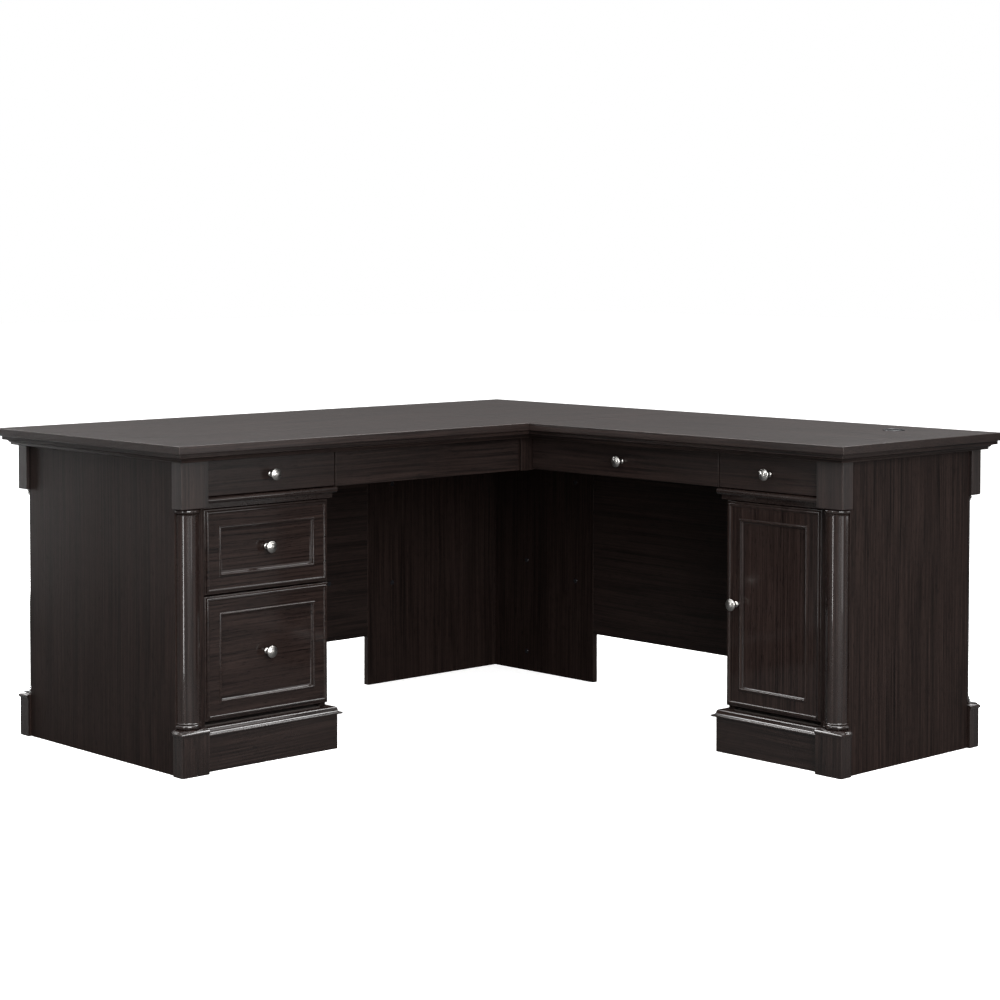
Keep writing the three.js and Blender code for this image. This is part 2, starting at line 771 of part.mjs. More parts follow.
// Grommet: a flanged liner in the hole
const linerRadius = GROMMET_HOLE / 2 - GAP;
const grommetProfile = [
  [GROMMET_BORE / 2, TOP_UNDERSIDE],
  [linerRadius, TOP_UNDERSIDE],
  [linerRadius, HEIGHT + GAP],
  [GROMMET_FLANGE / 2, HEIGHT + GAP],
  [GROMMET_FLANGE / 2 - 0.8, HEIGHT + 0.7 * GROMMET_FLANGE_HEIGHT],
  [GROMMET_FLANGE / 2 - 2.5, HEIGHT + GROMMET_FLANGE_HEIGHT],
  [GROMMET_BORE / 2 + 1, HEIGHT + GROMMET_FLANGE_HEIGHT],
  [GROMMET_BORE / 2, HEIGHT + GROMMET_FLANGE_HEIGHT - 1],
  [GROMMET_BORE / 2, TOP_UNDERSIDE],
].map(([r, z]) => new THREE.Vector2(r, z));
const grommet = new THREE.LatheGeometry(grommetProfile, GROMMET_SEGMENTS).rotateX(Math.PI / 2);
addPiece(side, "cable_grommet", grommet.translate(grommetX, grommetY, 0), "plastic");

// Cornice
addPiece(main, "main_front_cornice", frontCornice(mainWing, RETURN_DEPTH), "wood");
addPiece(side, "return_front_cornice", frontCornice(returnWing, MAIN_DEPTH), "wood");
addPiece(main, "main_end_cornice", endCornice(mainWing), "wood");
addPiece(side, "return_end_cornice", endCornice(returnWing), "wood");
addPiece(back, "back_cornice", backCornice(), "wood");

// Pedestals
addPedestal(main, "left", mainWing);
addPedestal(side, "right", returnWing);

// Drawers
const mainDrawerLength = drawerLength(mainLine, MAIN_DRAWER_REAR_ROOM);
const returnDrawerLength = drawerLength(returnLine, RETURN_DRAWER_REAR_ROOM);
addDrawer(main, "left_top_drawer", mainLine, topDrawerFront(mainLine), mainDrawerLength, TOP_DRAWER_HEIGHT);
addDrawer(
  main,
  "left_middle_drawer",
  mainLine,
  lowerFront(mainLine, FILE_FRONT_TOP + FRONT_REVEAL, LOWER_FRONT_TOP),
  mainDrawerLength,
  MIDDLE_DRAWER_HEIGHT,
);
addDrawer(
  main,
  "left_file_drawer",
  mainLine,
  lowerFront(mainLine, LOWER_FRONT_BOTTOM, FILE_FRONT_TOP),
  mainDrawerLength,
  FILE_DRAWER_HEIGHT,
);
addDrawer(
  side,
  "right_top_drawer",
  returnLine,
  topDrawerFront(returnLine),
  returnDrawerLength,
  TOP_DRAWER_HEIGHT,
);

// Cabinet: door, knob, hinges and shelf
const doorFront = lowerFront(returnLine, LOWER_FRONT_BOTTOM, LOWER_FRONT_TOP);
const doorBack = doorFront.face + FRONT_THICKNESS;
const hingeX = doorFront.x0 + HINGE_INSET;
const hingeLevels = {
  upper_hinge: doorFront.z1 - HINGE_END_DISTANCE,
  lower_hinge: doorFront.z0 + HINGE_END_DISTANCE,
};
let door = solidOf(framedFront(doorFront.x0, doorFront.x1, doorFront.z0, doorFront.z1, doorFront.face));
for (const [name, level] of Object.entries(hingeLevels)) {
  door = door.subtract(solidOf(hingePocket(hingeX, doorBack, level)));
  addPiece(side, name, hingeCup(hingeX, doorBack, level), "steel");
}
addPiece(side, "cabinet_door", geometryOf(door), "wood");
addPiece(
  side,
  "cabinet_knob",
  knob(doorFront.x1 - DOOR_KNOB_INSET, doorFront.face + FRAME_SINK, (doorFront.z0 + doorFront.z1) / 2),
  "nickel",
);
addPiece(
  side,
  "cabinet_shelf",
  block(
    returnLine.endPanel + PANEL + GAP,
    returnLine.innerPanel - THIN_PANEL - GAP,
    returnLine.body + PANEL + SHELF_SETBACK,
    returnLine.back - THIN_PANEL - GAP,
    SHELF_LEVEL,
    SHELF_LEVEL + THIN_PANEL,
  ),
  "interior",
);

// Keyboard tray with its drop front
const fillerFront = mainLine.frieze - FILLER_PROUD;
const keyboardFront = {
  x0: returnLine.innerFace - FRONT_REVEAL,
  x1: fillerFront - 1.5,
  z0: TOP_FRONT_BOTTOM,
  z1: TOP_FRONT_TOP,
};
const pivotY = returnLine.frieze + PIVOT_INSET;
const pivotZ = keyboardFront.z0 + PIVOT_INSET;
const trayStart = returnLine.innerPanel + TRAY_SIDE_ROOM;
const trayEnd = mainLine.frieze - TRAY_SIDE_ROOM;
const trayFront = returnLine.frieze + FRONT_THICKNESS + TRAY_FRONT_GAP;
const trayBottom = TOP_FRONT_BOTTOM + TRAY_LIFT;
let dropFront = solidOf(
  flatFront(keyboardFront.x0, keyboardFront.x1, keyboardFront.z0, keyboardFront.z1, returnLine.frieze),
);
let tray = solidOf(
  drawerBox(trayStart, trayEnd, trayFront, trayFront + TRAY_LENGTH, trayBottom, TRAY_HEIGHT),
);
for (const x of [trayStart + PIVOT_FROM_END, trayEnd - PIVOT_FROM_END]) {
  dropFront = dropFront.subtract(solidOf(pivotNotch(x, pivotY, pivotZ)));
  tray = tray.add(pivotArm(x, pivotY, pivotZ, trayFront, trayBottom));
}
addPiece(side, "keyboard_front", geometryOf(dropFront), "wood");
addPiece(
  side,
  "keyboard_knob",
  knob(
    (keyboardFront.x0 + keyboardFront.x1) / 2,
    returnLine.frieze,
    (keyboardFront.z0 + keyboardFront.z1) / 2,
  ),
  "nickel",
);
addPiece(side, "keyboard_tray", geometryOf(tray), "interior");

// Apron over the main knee space, and the block where the two wings' fronts meet
const cornerX = returnLine.frieze;
addPiece(
  main,
  "main_apron",
  flatFront(
    mainLine.innerFace - FRONT_REVEAL,
    cornerX - FILLER_WIDTH - GAP,
    RAIL_TOP,
    FRIEZE_TOP - GAP,
    mainLine.frieze,
  ),
  "wood",
);
addPiece(
  main,
  "corner_filler",
  block(
    cornerX - FILLER_WIDTH,
    cornerX + FRONT_THICKNESS,
    fillerFront,
    mainLine.frieze + FRONT_THICKNESS,
    RAIL_TOP,
    FRIEZE_TOP - GAP,
  ),
  "wood",
);

// Modesty panels and the two leg panels behind the knee space
const legFace = -MODESTY_SETBACK - THIN_PANEL;
const mainLegEnd = legFace - MAIN_LEG_LENGTH;
const returnLegEnd = legFace - RETURN_LEG_LENGTH;
function kneeBoard(group, name, x0, x1, bottom) {
  addPiece(group, name, block(x0, x1, legFace, -MODESTY_SETBACK, bottom, CARCASE_TOP), "wood");
}
kneeBoard(main, "main_leg_panel", mainLegEnd, -MODESTY_SETBACK, 0);
kneeBoard(side, "return_leg_panel", returnLegEnd, legFace - GAP, 0);
kneeBoard(main, "main_modesty_panel", mainLine.innerPanel + GAP, mainLegEnd - GAP, MODESTY_BOTTOM);
kneeBoard(side, "return_modesty_panel", returnLine.innerPanel + GAP, returnLegEnd - GAP, MODESTY_BOTTOM);

export default desk;
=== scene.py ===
import math

import bmesh
import bpy
from mathutils import Matrix, Vector


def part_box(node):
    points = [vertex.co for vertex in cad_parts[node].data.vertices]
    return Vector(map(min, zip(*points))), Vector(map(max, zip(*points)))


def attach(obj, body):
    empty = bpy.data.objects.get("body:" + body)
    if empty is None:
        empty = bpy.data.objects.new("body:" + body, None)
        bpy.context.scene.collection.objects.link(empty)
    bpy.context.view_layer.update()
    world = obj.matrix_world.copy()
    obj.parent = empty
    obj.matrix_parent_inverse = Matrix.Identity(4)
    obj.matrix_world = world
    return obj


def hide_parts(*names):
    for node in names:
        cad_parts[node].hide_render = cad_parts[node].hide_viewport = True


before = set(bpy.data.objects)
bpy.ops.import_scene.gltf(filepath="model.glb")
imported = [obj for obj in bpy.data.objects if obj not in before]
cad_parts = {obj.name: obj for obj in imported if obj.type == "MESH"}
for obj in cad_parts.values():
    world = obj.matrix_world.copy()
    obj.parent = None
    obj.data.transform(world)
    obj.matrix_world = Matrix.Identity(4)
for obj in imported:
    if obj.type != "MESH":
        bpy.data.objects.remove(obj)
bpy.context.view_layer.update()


# ---- Worktops ----
# Two slabs of 19 mm board in dark espresso laminate, butted along the inner corner.
# Their arrises are eased by hand, and the grain runs the length of each wing.
WELD = 1e-6
FLAT_ANGLE = math.radians(0.4)
CREASE_ANGLE = math.radians(35)
TOP_ARRIS = 0.0009
USUAL_ARRIS = 0.0006
ESPRESSO_DARK = (0.0020, 0.0011, 0.0010, 1)
ESPRESSO_MID = (0.0064, 0.0037, 0.0032, 1)
ESPRESSO_STREAK = (0.024, 0.0150, 0.0128, 1)
# This lighter tone is painted on the arrises as a painted highlight along the edges.
ESPRESSO_EDGE_HIGHLIGHT = (0.040, 0.030, 0.026, 1)
STREAKS_PER_METRE = 240.0
STREAKS_ALONG = 2.2
PORES_PER_METRE = 950.0
PORES_ALONG = 38.0


def add(tree, kind, inputs=None, **settings):
    """One node. An input given as a socket is linked, any other value is set on it."""
    made = tree.nodes.new(kind)
    for name, value in settings.items():
        setattr(made, name, value)
    for name, value in (inputs or {}).items():
        if isinstance(value, bpy.types.NodeSocket):
            tree.links.new(value, made.inputs[name])
        else:
            made.inputs[name].default_value = value
    return made


def effect(name, takes, gives):
    """An empty shader node group with its named inputs and outputs."""
    tree = bpy.data.node_groups.new(name, "ShaderNodeTree")
    for label, kind, value in takes:
        tree.interface.new_socket(label, in_out="INPUT", socket_type=kind).default_value = value
    for label, kind in gives:
        tree.interface.new_socket(label, in_out="OUTPUT", socket_type=kind)
    return tree, tree.nodes.new("NodeGroupInput").outputs, tree.nodes.new("NodeGroupOutput").inputs


def clouds(tree, place, scale, detail):
    """Soft noise at that scale."""
    return add(tree, "ShaderNodeTexNoise", {"Vector": place, "Scale": scale, "Detail": detail}).outputs["Fac"]


def spread(tree, value, low, high, to_low=0.0, to_high=1.0):
    """The value stretched from low..high to to_low..to_high, and held there."""
    inputs = {"Value": value, "From Min": low, "From Max": high, "To Min": to_low, "To Max": to_high}
    return add(tree, "ShaderNodeMapRange", inputs).outputs["Result"]


def tint(tree, share, first, second, how="MIX"):
    """Two colours mixed by that share."""
    mixer = add(tree, "ShaderNodeMix", {0: share, 6: first, 7: second}, data_type="RGBA", blend_type=how)
    return mixer.outputs[2]


def straight_grain_effect():
    """Straight wood grain: streaks, short pores and slow figure, stretched by a scale for each axis."""
    tree, given, result = effect(
        "straight_grain",
        [
            ("Place", "NodeSocketVector", (0, 0, 0)),
            ("Streak Scale", "NodeSocketVector", (1, 1, 1)),
            ("Pore Scale", "NodeSocketVector", (1, 1, 1)),
        ],
        [
            ("Streak", "NodeSocketFloat"),
            ("Pore", "NodeSocketFloat"),
            ("Figure", "NodeSocketFloat"),
            ("Height", "NodeSocketFloat"),
        ],
    )
    drift = add(tree, "ShaderNodeTexNoise", {"Vector": given["Place"], "Scale": 1.7, "Detail": 2.0})
    drifted = add(
        tree,
        "ShaderNodeVectorMath",
        {0: drift.outputs["Color"], 1: (0.02, 0.02, 0.02), 2: given["Place"]},
        operation="MULTIPLY_ADD",
    ).outputs[0]

    def grain(scale, detail, roughness):
        stretched = add(tree, "ShaderNodeVectorMath", {0: drifted, 1: scale}, operation="MULTIPLY").outputs[0]
        inputs = {"Vector": stretched, "Scale": 1.0, "Detail": detail, "Roughness": roughness}
        return add(tree, "ShaderNodeTexNoise", inputs).outputs["Fac"]

    streak = spread(tree, grain(given["Streak Scale"], 5.0, 0.62), 0.34, 0.70)
    pore = spread(tree, grain(given["Pore Scale"], 1.0, 0.5), 0.60, 0.72)
    slower = {0: given["Streak Scale"], 1: (0.09, 0.09, 0.3)}
    slow = add(tree, "ShaderNodeVectorMath", slower, operation="MULTIPLY").outputs[0]
    figure = spread(tree, grain(slow, 2.0, 0.5), 0.32, 0.68)
    height = add(tree, "ShaderNodeMath", {0: streak, 1: 0.35, 2: 0.0}, operation="MULTIPLY_ADD").outputs[0]
    height = add(tree, "ShaderNodeMath", {0: height, 1: pore}, operation="SUBTRACT").outputs[0]
    for label, value in {"Streak": streak, "Pore": pore, "Figure": figure, "Height": height}.items():
        tree.links.new(value, result[label])
    return tree


def edge_highlight_effect():
    """A mask of the arrises for a painted highlight, broken up along their length."""
    tree, given, result = effect(
        "painted_edge_highlight",
        [("Place", "NodeSocketVector", (0, 0, 0)), ("Width", "NodeSocketFloat", 0.0015)],
        [("Highlight", "NodeSocketFloat")],
    )
    rounded = add(tree, "ShaderNodeBevel", {"Radius": given["Width"]}, samples=4).outputs[0]
    flat = add(tree, "ShaderNodeNewGeometry").outputs["Normal"]
    turn = add(tree, "ShaderNodeVectorMath", {0: rounded, 1: flat}, operation="DOT_PRODUCT").outputs["Value"]
    patchy = clouds(tree, given["Place"], 60.0, 3.0)
    lit_edges = add(
        tree,
        "ShaderNodeMath",
        {0: spread(tree, turn, 0.995, 0.90), 1: spread(tree, patchy, 0.35, 0.65, 0.25, 1.0)},
        operation="MULTIPLY",
    )
    tree.links.new(lit_edges.outputs[0], result["Highlight"])
    return tree


def gloss_effect():
    """How evenly a lacquered face was wiped: broad clouds with a fine mottle in them."""
    tree, given, result = effect(
        "gloss_clouds",
        [
            ("Place", "NodeSocketVector", (0, 0, 0)),
            ("Low", "NodeSocketFloat", 0.3),
            ("High", "NodeSocketFloat", 0.4),
        ],
        [("Roughness", "NodeSocketFloat")],
    )
    broad = clouds(tree, given["Place"], 5.0, 4.0)
    fine = clouds(tree, given["Place"], 420.0, 1.0)
    both = add(tree, "ShaderNodeMath", {0: fine, 1: 0.3, 2: broad}, operation="MULTIPLY_ADD").outputs[0]
    tree.links.new(spread(tree, both, 0.45, 0.85, given["Low"], given["High"]), result["Roughness"])
    return tree


straight_grain = straight_grain_effect()
painted_edge_highlight = edge_highlight_effect()
gloss_clouds = gloss_effect()


def along(axis, across, length):
    """A scale for each axis: that many to the metre along the grain, and across it."""
    return tuple(length if name == axis else across for name in "XYZ")


def new_material(name):
    """An empty material with its surface shader and object coordinates."""
    material = bpy.data.materials.new(name)
    material.use_nodes = True
    tree = material.node_tree
    tree.nodes.clear()
    surface = tree.nodes.new("ShaderNodeBsdfPrincipled")
    output = tree.nodes.new("ShaderNodeOutputMaterial")
    tree.links.new(surface.outputs[0], output.inputs["Surface"])
    return material, tree, surface.inputs, tree.nodes.new("ShaderNodeTexCoord").outputs["Object"]


def group_node(tree, effect_tree, inputs):
    """An effect placed in a material; gives back its outputs."""
    return add(tree, "ShaderNodeGroup", inputs, node_tree=effect_tree).outputs


def wood_group(tree, place, axis):
    """The grain effect with its streaks and pores along that axis."""
    scales = {
        "Place": place,
        "Streak Scale": along(axis, STREAKS_PER_METRE, STREAKS_ALONG),
        "Pore Scale": along(axis, PORES_PER_METRE, PORES_ALONG),
    }
    return group_node(tree, straight_grain, scales)


def espresso(name, axis, rough_low, rough_high, specular, coat=0.0, coat_rough=0.1):
    """Dark espresso laminate or foil under clear lacquer, with its grain along one axis."""
    material, tree, surface, place = new_material(name)
    grain = wood_group(tree, place, axis)
    tone = tint(tree, grain["Figure"], ESPRESSO_DARK, ESPRESSO_MID)
    tone = tint(tree, grain["Streak"], tone, ESPRESSO_STREAK)
    tone = tint(tree, grain["Pore"], tone, ESPRESSO_DARK)
    # The arrises are painted lighter: a painted highlight along every edge.
    lit_edges = group_node(tree, painted_edge_highlight, {"Place": place})["Highlight"]
    tree.links.new(tint(tree, lit_edges, tone, ESPRESSO_EDGE_HIGHLIGHT), surface["Base Color"])
    gloss = group_node(tree, gloss_clouds, {"Place": place, "Low": rough_low, "High": rough_high})
    duller_pores = {0: grain["Pore"], 1: 0.12, 2: gloss["Roughness"]}
    rough = add(tree, "ShaderNodeMath", duller_pores, operation="MULTIPLY_ADD").outputs[0]
    tree.links.new(rough, surface["Roughness"])
    bump = add(tree, "ShaderNodeBump", {"Strength": 0.35, "Distance": 0.00006, "Height": grain["Height"]})
    tree.links.new(bump.outputs[0], surface["Normal"])
    surface["Specular IOR Level"].default_value = specular
    surface["Coat Weight"].default_value = coat
    surface["Coat Roughness"].default_value = coat_rough
    return material


def finished(name, shape, finish, body, stands_for=(), crease=CREASE_ANGLE):
    """The mesh as a named piece with its finish, smooth between creases, riding on its body."""
    mesh = bpy.data.meshes.new(name)
    shape.to_mesh(mesh)
    shape.free()
    mesh.materials.append(finish)
    mesh.polygons.foreach_set("use_smooth", [True] * len(mesh.polygons))
    mesh.set_sharp_from_angle(angle=crease)
    piece = bpy.data.objects.new(name, mesh)
    bpy.context.scene.collection.objects.link(piece)
    piece.modifiers.new("even_faces", "WEIGHTED_NORMAL").keep_sharp = True
    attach(piece, body)
    if stands_for:
        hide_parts(*stands_for)
    return piece


def eased(node, arris, steps=2):
    """A copy of a frame node's mesh, merged, with its sharp outer edges rounded by that much."""
    shape = bmesh.new()
    shape.from_mesh(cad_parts[node].data)
    bmesh.ops.remove_doubles(shape, verts=shape.verts, dist=WELD)
    if arris == 0:
        return shape
    bmesh.ops.dissolve_limit(shape, angle_limit=FLAT_ANGLE, verts=shape.verts, edges=shape.edges)
    sharp = [edge for edge in shape.edges if edge.is_convex and edge.calc_face_angle(0) > CREASE_ANGLE]
    bmesh.ops.bevel(
        shape, geom=sharp, offset=arris, segments=steps, profile=0.5, affect="EDGES", clamp_overlap=True
    )
    return shape


def dress(nodes, finish, body="carcase", arris=USUAL_ARRIS):
    """Each of these frame nodes as a finished piece of its own."""
    for node in nodes:
        finished("finished_" + node, eased(node, arris), finish, body, [node])


top_along_main = espresso("top_laminate_main", "X", 0.34, 0.44, 0.3, 0.08, 0.12)
top_along_return = espresso("top_laminate_return", "Y", 0.34, 0.44, 0.3, 0.08, 0.12)
dress(["main_top"], top_along_main, arris=TOP_ARRIS)
dress(["return_top"], top_along_return, arris=TOP_ARRIS)


# ---- Cornice and rail mouldings ----
# Foil-wrapped strips, mitred and glued under the tops, and half-round beads along the rails.
# The rails' wrap is glossier than the flat boards, so each member shows as a bright line.
moulding_main = espresso("moulding_foil_main", "X", 0.24, 0.32, 0.25, 1.0, 0.08)
moulding_return = espresso("moulding_foil_return", "Y", 0.24, 0.32, 0.25, 1.0, 0.08)
moulding_upright = espresso("moulding_foil_upright", "Z", 0.22, 0.30, 0.25, 1.0, 0.06)
cornice_main = espresso("cornice_foil_main", "X", 0.34, 0.42, 0.2)
cornice_return = espresso("cornice_foil_return", "Y", 0.34, 0.42, 0.2)
dress(["main_front_cornice", "back_cornice", "return_end_cornice"], cornice_main, arris=0)
dress(["return_front_cornice", "main_end_cornice"], cornice_return, arris=0)
dress(["left_bead_rail", "left_base_board"], moulding_main, arris=0)
dress(["right_bead_rail", "right_base_board"], moulding_return, arris=0)


# ---- Pilasters ----
# Each corner has a plinth block, a turned half column and a frieze block, screwed on from behind.
# The blocks are foiled board; the column is turned in one length with a ring at each end.
COLUMN_STEPS = 48
RING_HEIGHT = 0.015
RING_RADIUS = 0.033
SHAFT_RADIUS = 0.029
COVE_RADIUS = 0.0026
TORUS_SHARE = 0.36
COLUMN_CREASE = math.radians(50)


def arc_points(centre, radius, start, end, steps):
    """(radius, height) points of an arc round a centre, its angles in degrees."""
    angles = [math.radians(start + (end - start) * step / steps) for step in range(steps + 1)]
    return [(centre[0] + radius * math.cos(angle), centre[1] + radius * math.sin(angle)) for angle in angles]


def half_turned(profile, steps):
    """A half-round turning with a flat back, from (radius, height) points that begin and end on the axis."""
    shape = bmesh.new()
    heights = profile[1:-1]
    rows = []
    for step in range(steps + 1):
        angle = math.pi * step / steps
        side, out = math.cos(angle), -math.sin(angle)
        rows.append([shape.verts.new((radius * side, radius * out, height)) for radius, height in heights])
    for first, second in zip(rows, rows[1:]):
        for low in range(len(heights) - 1):
            shape.faces.new([first[low], second[low], second[low + 1], first[low + 1]])
    shape.faces.new([row[0] for row in reversed(rows)])
    shape.faces.new([row[-1] for row in rows])
    shape.faces.new(rows[0] + list(reversed(rows[-1])))
    bmesh.ops.recalc_face_normals(shape, faces=shape.faces)
    return shape


def column_profile(bottom, top):
    """The turning's outline from floor to frieze: torus, fillet, shaft, fillet, torus."""
    torus = RING_HEIGHT * TORUS_SHARE
    foot = arc_points((RING_RADIUS - torus, bottom + torus), torus, -90, 90, 12)
    head = arc_points((RING_RADIUS - torus, top - torus), torus, -90, 90, 12)
    foot_cove = arc_points((SHAFT_RADIUS + COVE_RADIUS, bottom + RING_HEIGHT), COVE_RADIUS, 270, 180, 6)
    head_cove = arc_points((SHAFT_RADIUS + COVE_RADIUS, top - RING_HEIGHT), COVE_RADIUS, 180, 90, 6)
    return [(0, bottom)] + foot + foot_cove + head_cove + head + [(0, top)]


def raise_column(node, quarter_turns):
    """A half column on the centre of its frame node, its round side turned by quarter turns."""
    low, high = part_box(node)
    shape = half_turned(column_profile(low[2], high[2]), COLUMN_STEPS)
    if quarter_turns % 2 == 0:
        centre_x, centre_y = (low[0] + high[0]) / 2, (high[1] if quarter_turns == 0 else low[1])
    else:
        centre_x, centre_y = (high[0] if quarter_turns == -1 else low[0]), (low[1] + high[1]) / 2
    turn = Matrix.Rotation(quarter_turns * math.pi / 2, 4, "Z")
    bmesh.ops.transform(shape, matrix=Matrix.Translation((centre_x, centre_y, 0)) @ turn, verts=shape.verts)
    finished("turned_" + node, shape, moulding_upright, "carcase", [node], COLUMN_CREASE)


raise_column("left_front_column", 0)
raise_column("left_back_column", 2)
raise_column("right_front_column", -1)
raise_column("right_back_column", 1)
board_upright = espresso("board_foil_upright", "Z", 0.36, 0.46, 0.12)
block_upright = espresso("block_foil_upright", "Z", 0.38, 0.44, 0.5)
corners = [side + end for side in ("left_", "right_") for end in ("front", "back")]
dress([corner + "_frieze_block" for corner in corners], block_upright)
dress([corner + "_plinth_block" for corner in corners], moulding_upright, arris=0)


# ---- Carcase boards ----
# Uprights, backs, legs and modesty boards of foiled chipboard, joined by cams and dowels.
# The long boards between the pedestals have their grain level.
BOARD_ARRIS = 0.0005
board_main = espresso("board_foil_main", "X", 0.36, 0.46, 0.25)
board_return = espresso("board_foil_return", "Y", 0.36, 0.46, 0.25)
uprights = ["end_panel", "inner_panel", "back_panel", "front_stile"]
dress([side + board for side in ("left_", "right_") for board in uprights], board_upright, arris=BOARD_ARRIS)
dress(["main_leg_panel", "return_leg_panel", "corner_filler"], board_upright, arris=BOARD_ARRIS)
dress(["main_modesty_panel", "main_apron"], board_main, arris=BOARD_ARRIS)
dress(["return_modesty_panel"], board_return, arris=BOARD_ARRIS)


# ---- Inside boards ----
# Cabinet floors and shelf, drawer boxes and the keyboard tray, of plain dark melamine board.
# Its face has a fine orange peel. The boxes are doweled, and the shelf lies on four pins.
MELAMINE_DARK = (0.026, 0.020, 0.018, 1)
MELAMINE_LIGHT = (0.046, 0.037, 0.033, 1)
# The lightest tone is painted on the arrises as a painted highlight along the edges.
MELAMINE_EDGE_HIGHLIGHT = (0.12, 0.10, 0.09, 1)


def melamine():
    """Plain dark board facing."""
    material, tree, surface, place = new_material("inside_melamine")
    peel = clouds(tree, place, 900.0, 2.0)
    cloud = clouds(tree, place, 9.0, 3.0)
    tone = tint(tree, spread(tree, cloud, 0.35, 0.65), MELAMINE_DARK, MELAMINE_LIGHT)
    # The arrises are painted lighter: a painted highlight along every edge.
    lit_edges = group_node(tree, painted_edge_highlight, {"Place": place})["Highlight"]
    tree.links.new(tint(tree, lit_edges, tone, MELAMINE_EDGE_HIGHLIGHT), surface["Base Color"])
    gloss = group_node(tree, gloss_clouds, {"Place": place, "Low": 0.50, "High": 0.62})
    tree.links.new(gloss["Roughness"], surface["Roughness"])
    bump = add(tree, "ShaderNodeBump", {"Strength": 0.25, "Distance": 0.00008, "Height": peel})
    tree.links.new(bump.outputs[0], surface["Normal"])
    return material


inside_board = melamine()
DRAWER_BODIES = ["left_top_drawer", "left_middle_drawer", "left_file_drawer", "right_top_drawer"]
dress(["left_bottom_panel", "right_bottom_panel", "cabinet_shelf"], inside_board)
for drawer in DRAWER_BODIES:
    dress([drawer + "_box"], inside_board, drawer)
dress(["keyboard_tray"], inside_board, "keyboard_tray")


# ---- Drawer fronts, keyboard front and door ----
# Moulded fronts wrapped in one sheet of foil: flat slabs in the top row, framed ones below.
# Drawer fronts have level grain; the door's runs upright.
front_main = espresso("front_foil_main", "X", 0.28, 0.38, 0.08, 0.75, 0.08)
front_upright = espresso("front_foil_upright", "Z", 0.28, 0.38, 0.08, 0.75, 0.08)
FRAME_WIDTH = 0.040
FRAME_SINK = 0.0035
PANEL_RECESS = 0.007
OUTER_ARRIS = 0.0027
QUIRK_DEPTH = 0.0052
OVOLO_RADIUS = 0.0048
FALL_RADIUS = 0.0036
BEAD_RADIUS = 0.0035
TURN_RADIUS = 0.0022
ARC_STEPS = 7
FRONT_CREASE = math.radians(30)


def framed_profile(thickness):
    """(depth, inset) points from the back edge to the panel: arris, quirk, ovolo, flat, bead and cove."""
    arris = arc_points((0.0070, OUTER_ARRIS), OUTER_ARRIS, 270, 180, ARC_STEPS)
    quirk = [(QUIRK_DEPTH, 0.0031), (QUIRK_DEPTH, 0.0040)]
    ovolo = arc_points((QUIRK_DEPTH, 0.0088), OVOLO_RADIUS, 270, 180, ARC_STEPS)[1:]
    fall = arc_points((0.0040, 0.0088), FALL_RADIUS, 180, 98, ARC_STEPS)[1:]
    bead = arc_points((FRAME_SINK, FRAME_WIDTH + BEAD_RADIUS), BEAD_RADIUS, 270, 180, ARC_STEPS)
    turn = arc_points((TURN_RADIUS, FRAME_WIDTH + BEAD_RADIUS), TURN_RADIUS, 180, 90, ARC_STEPS)[1:]
    sink = PANEL_RECESS - TURN_RADIUS
    cove = [
        (TURN_RADIUS + sink * math.sin(angle), FRAME_WIDTH + 0.012 - 0.006 * math.cos(angle))
        for angle in [math.pi / 2 * step / ARC_STEPS for step in range(ARC_STEPS + 1)]
    ]
    return [(thickness, 0.0005), (thickness - 0.0005, 0)] + arris + quirk + ovolo + fall + bead + turn + cove


def framed_front(node, outward):
    """A framed front in its frame node's place: one loop round for each point of the moulding."""
    low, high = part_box(node)
    sideways = 1 - outward
    shape = bmesh.new()
    loops = []
    for depth, inset in framed_profile(high[outward] - low[outward]):
        ring = []
        for across, up in ((0, 0), (1, 0), (1, 1), (0, 1)):
            corner = [0, 0, 0]
            corner[outward] = low[outward] + depth
            corner[sideways] = high[sideways] - inset if across else low[sideways] + inset
            corner[2] = high[2] - inset if up else low[2] + inset
            ring.append(shape.verts.new(corner))
        loops.append(ring)
    for first, second in zip(loops, loops[1:]):
        for side in range(4):
            after = (side + 1) % 4
            shape.faces.new([first[side], first[after], second[after], second[side]])
    shape.faces.new(loops[0])
    shape.faces.new(loops[-1])
    bmesh.ops.recalc_face_normals(shape, faces=shape.faces)
    return shape


def raise_framed(node, outward, finish, body):
    """The framed front as a finished piece."""
    shape = framed_front(node, outward)
    finished("moulded_" + node, shape, finish, body, [node], FRONT_CREASE)


slab_main = espresso("slab_foil_main", "X", 0.34, 0.42, 0.3)
slab_return = espresso("slab_foil_return", "Y", 0.34, 0.42, 0.3)
dress(["left_top_drawer_front"], slab_main, "left_top_drawer", arris=0)
dress(["right_top_drawer_front"], slab_return, "right_top_drawer", arris=0)
dress(["keyboard_front"], slab_return, "keyboard_drop_front", arris=0)
raise_framed("left_middle_drawer_front", 1, front_main, "left_middle_drawer")
raise_framed("left_file_drawer_front", 1, front_main, "left_file_drawer")
raise_framed("cabinet_door", 0, front_upright, "cabinet_door")


# ---- Knobs ----
# Turned mushroom knobs of brushed nickel, each on a ringed rose, held by a screw from inside the front.
# The brushing runs round the turning.
KNOB_STEPS = 64
KNOB_CREASE = math.radians(60)
NICKEL_DARK = (0.50, 0.485, 0.46, 1)
NICKEL_LIGHT = (0.66, 0.645, 0.62, 1)
NICKEL_LINE = (0.36, 0.35, 0.335, 1)


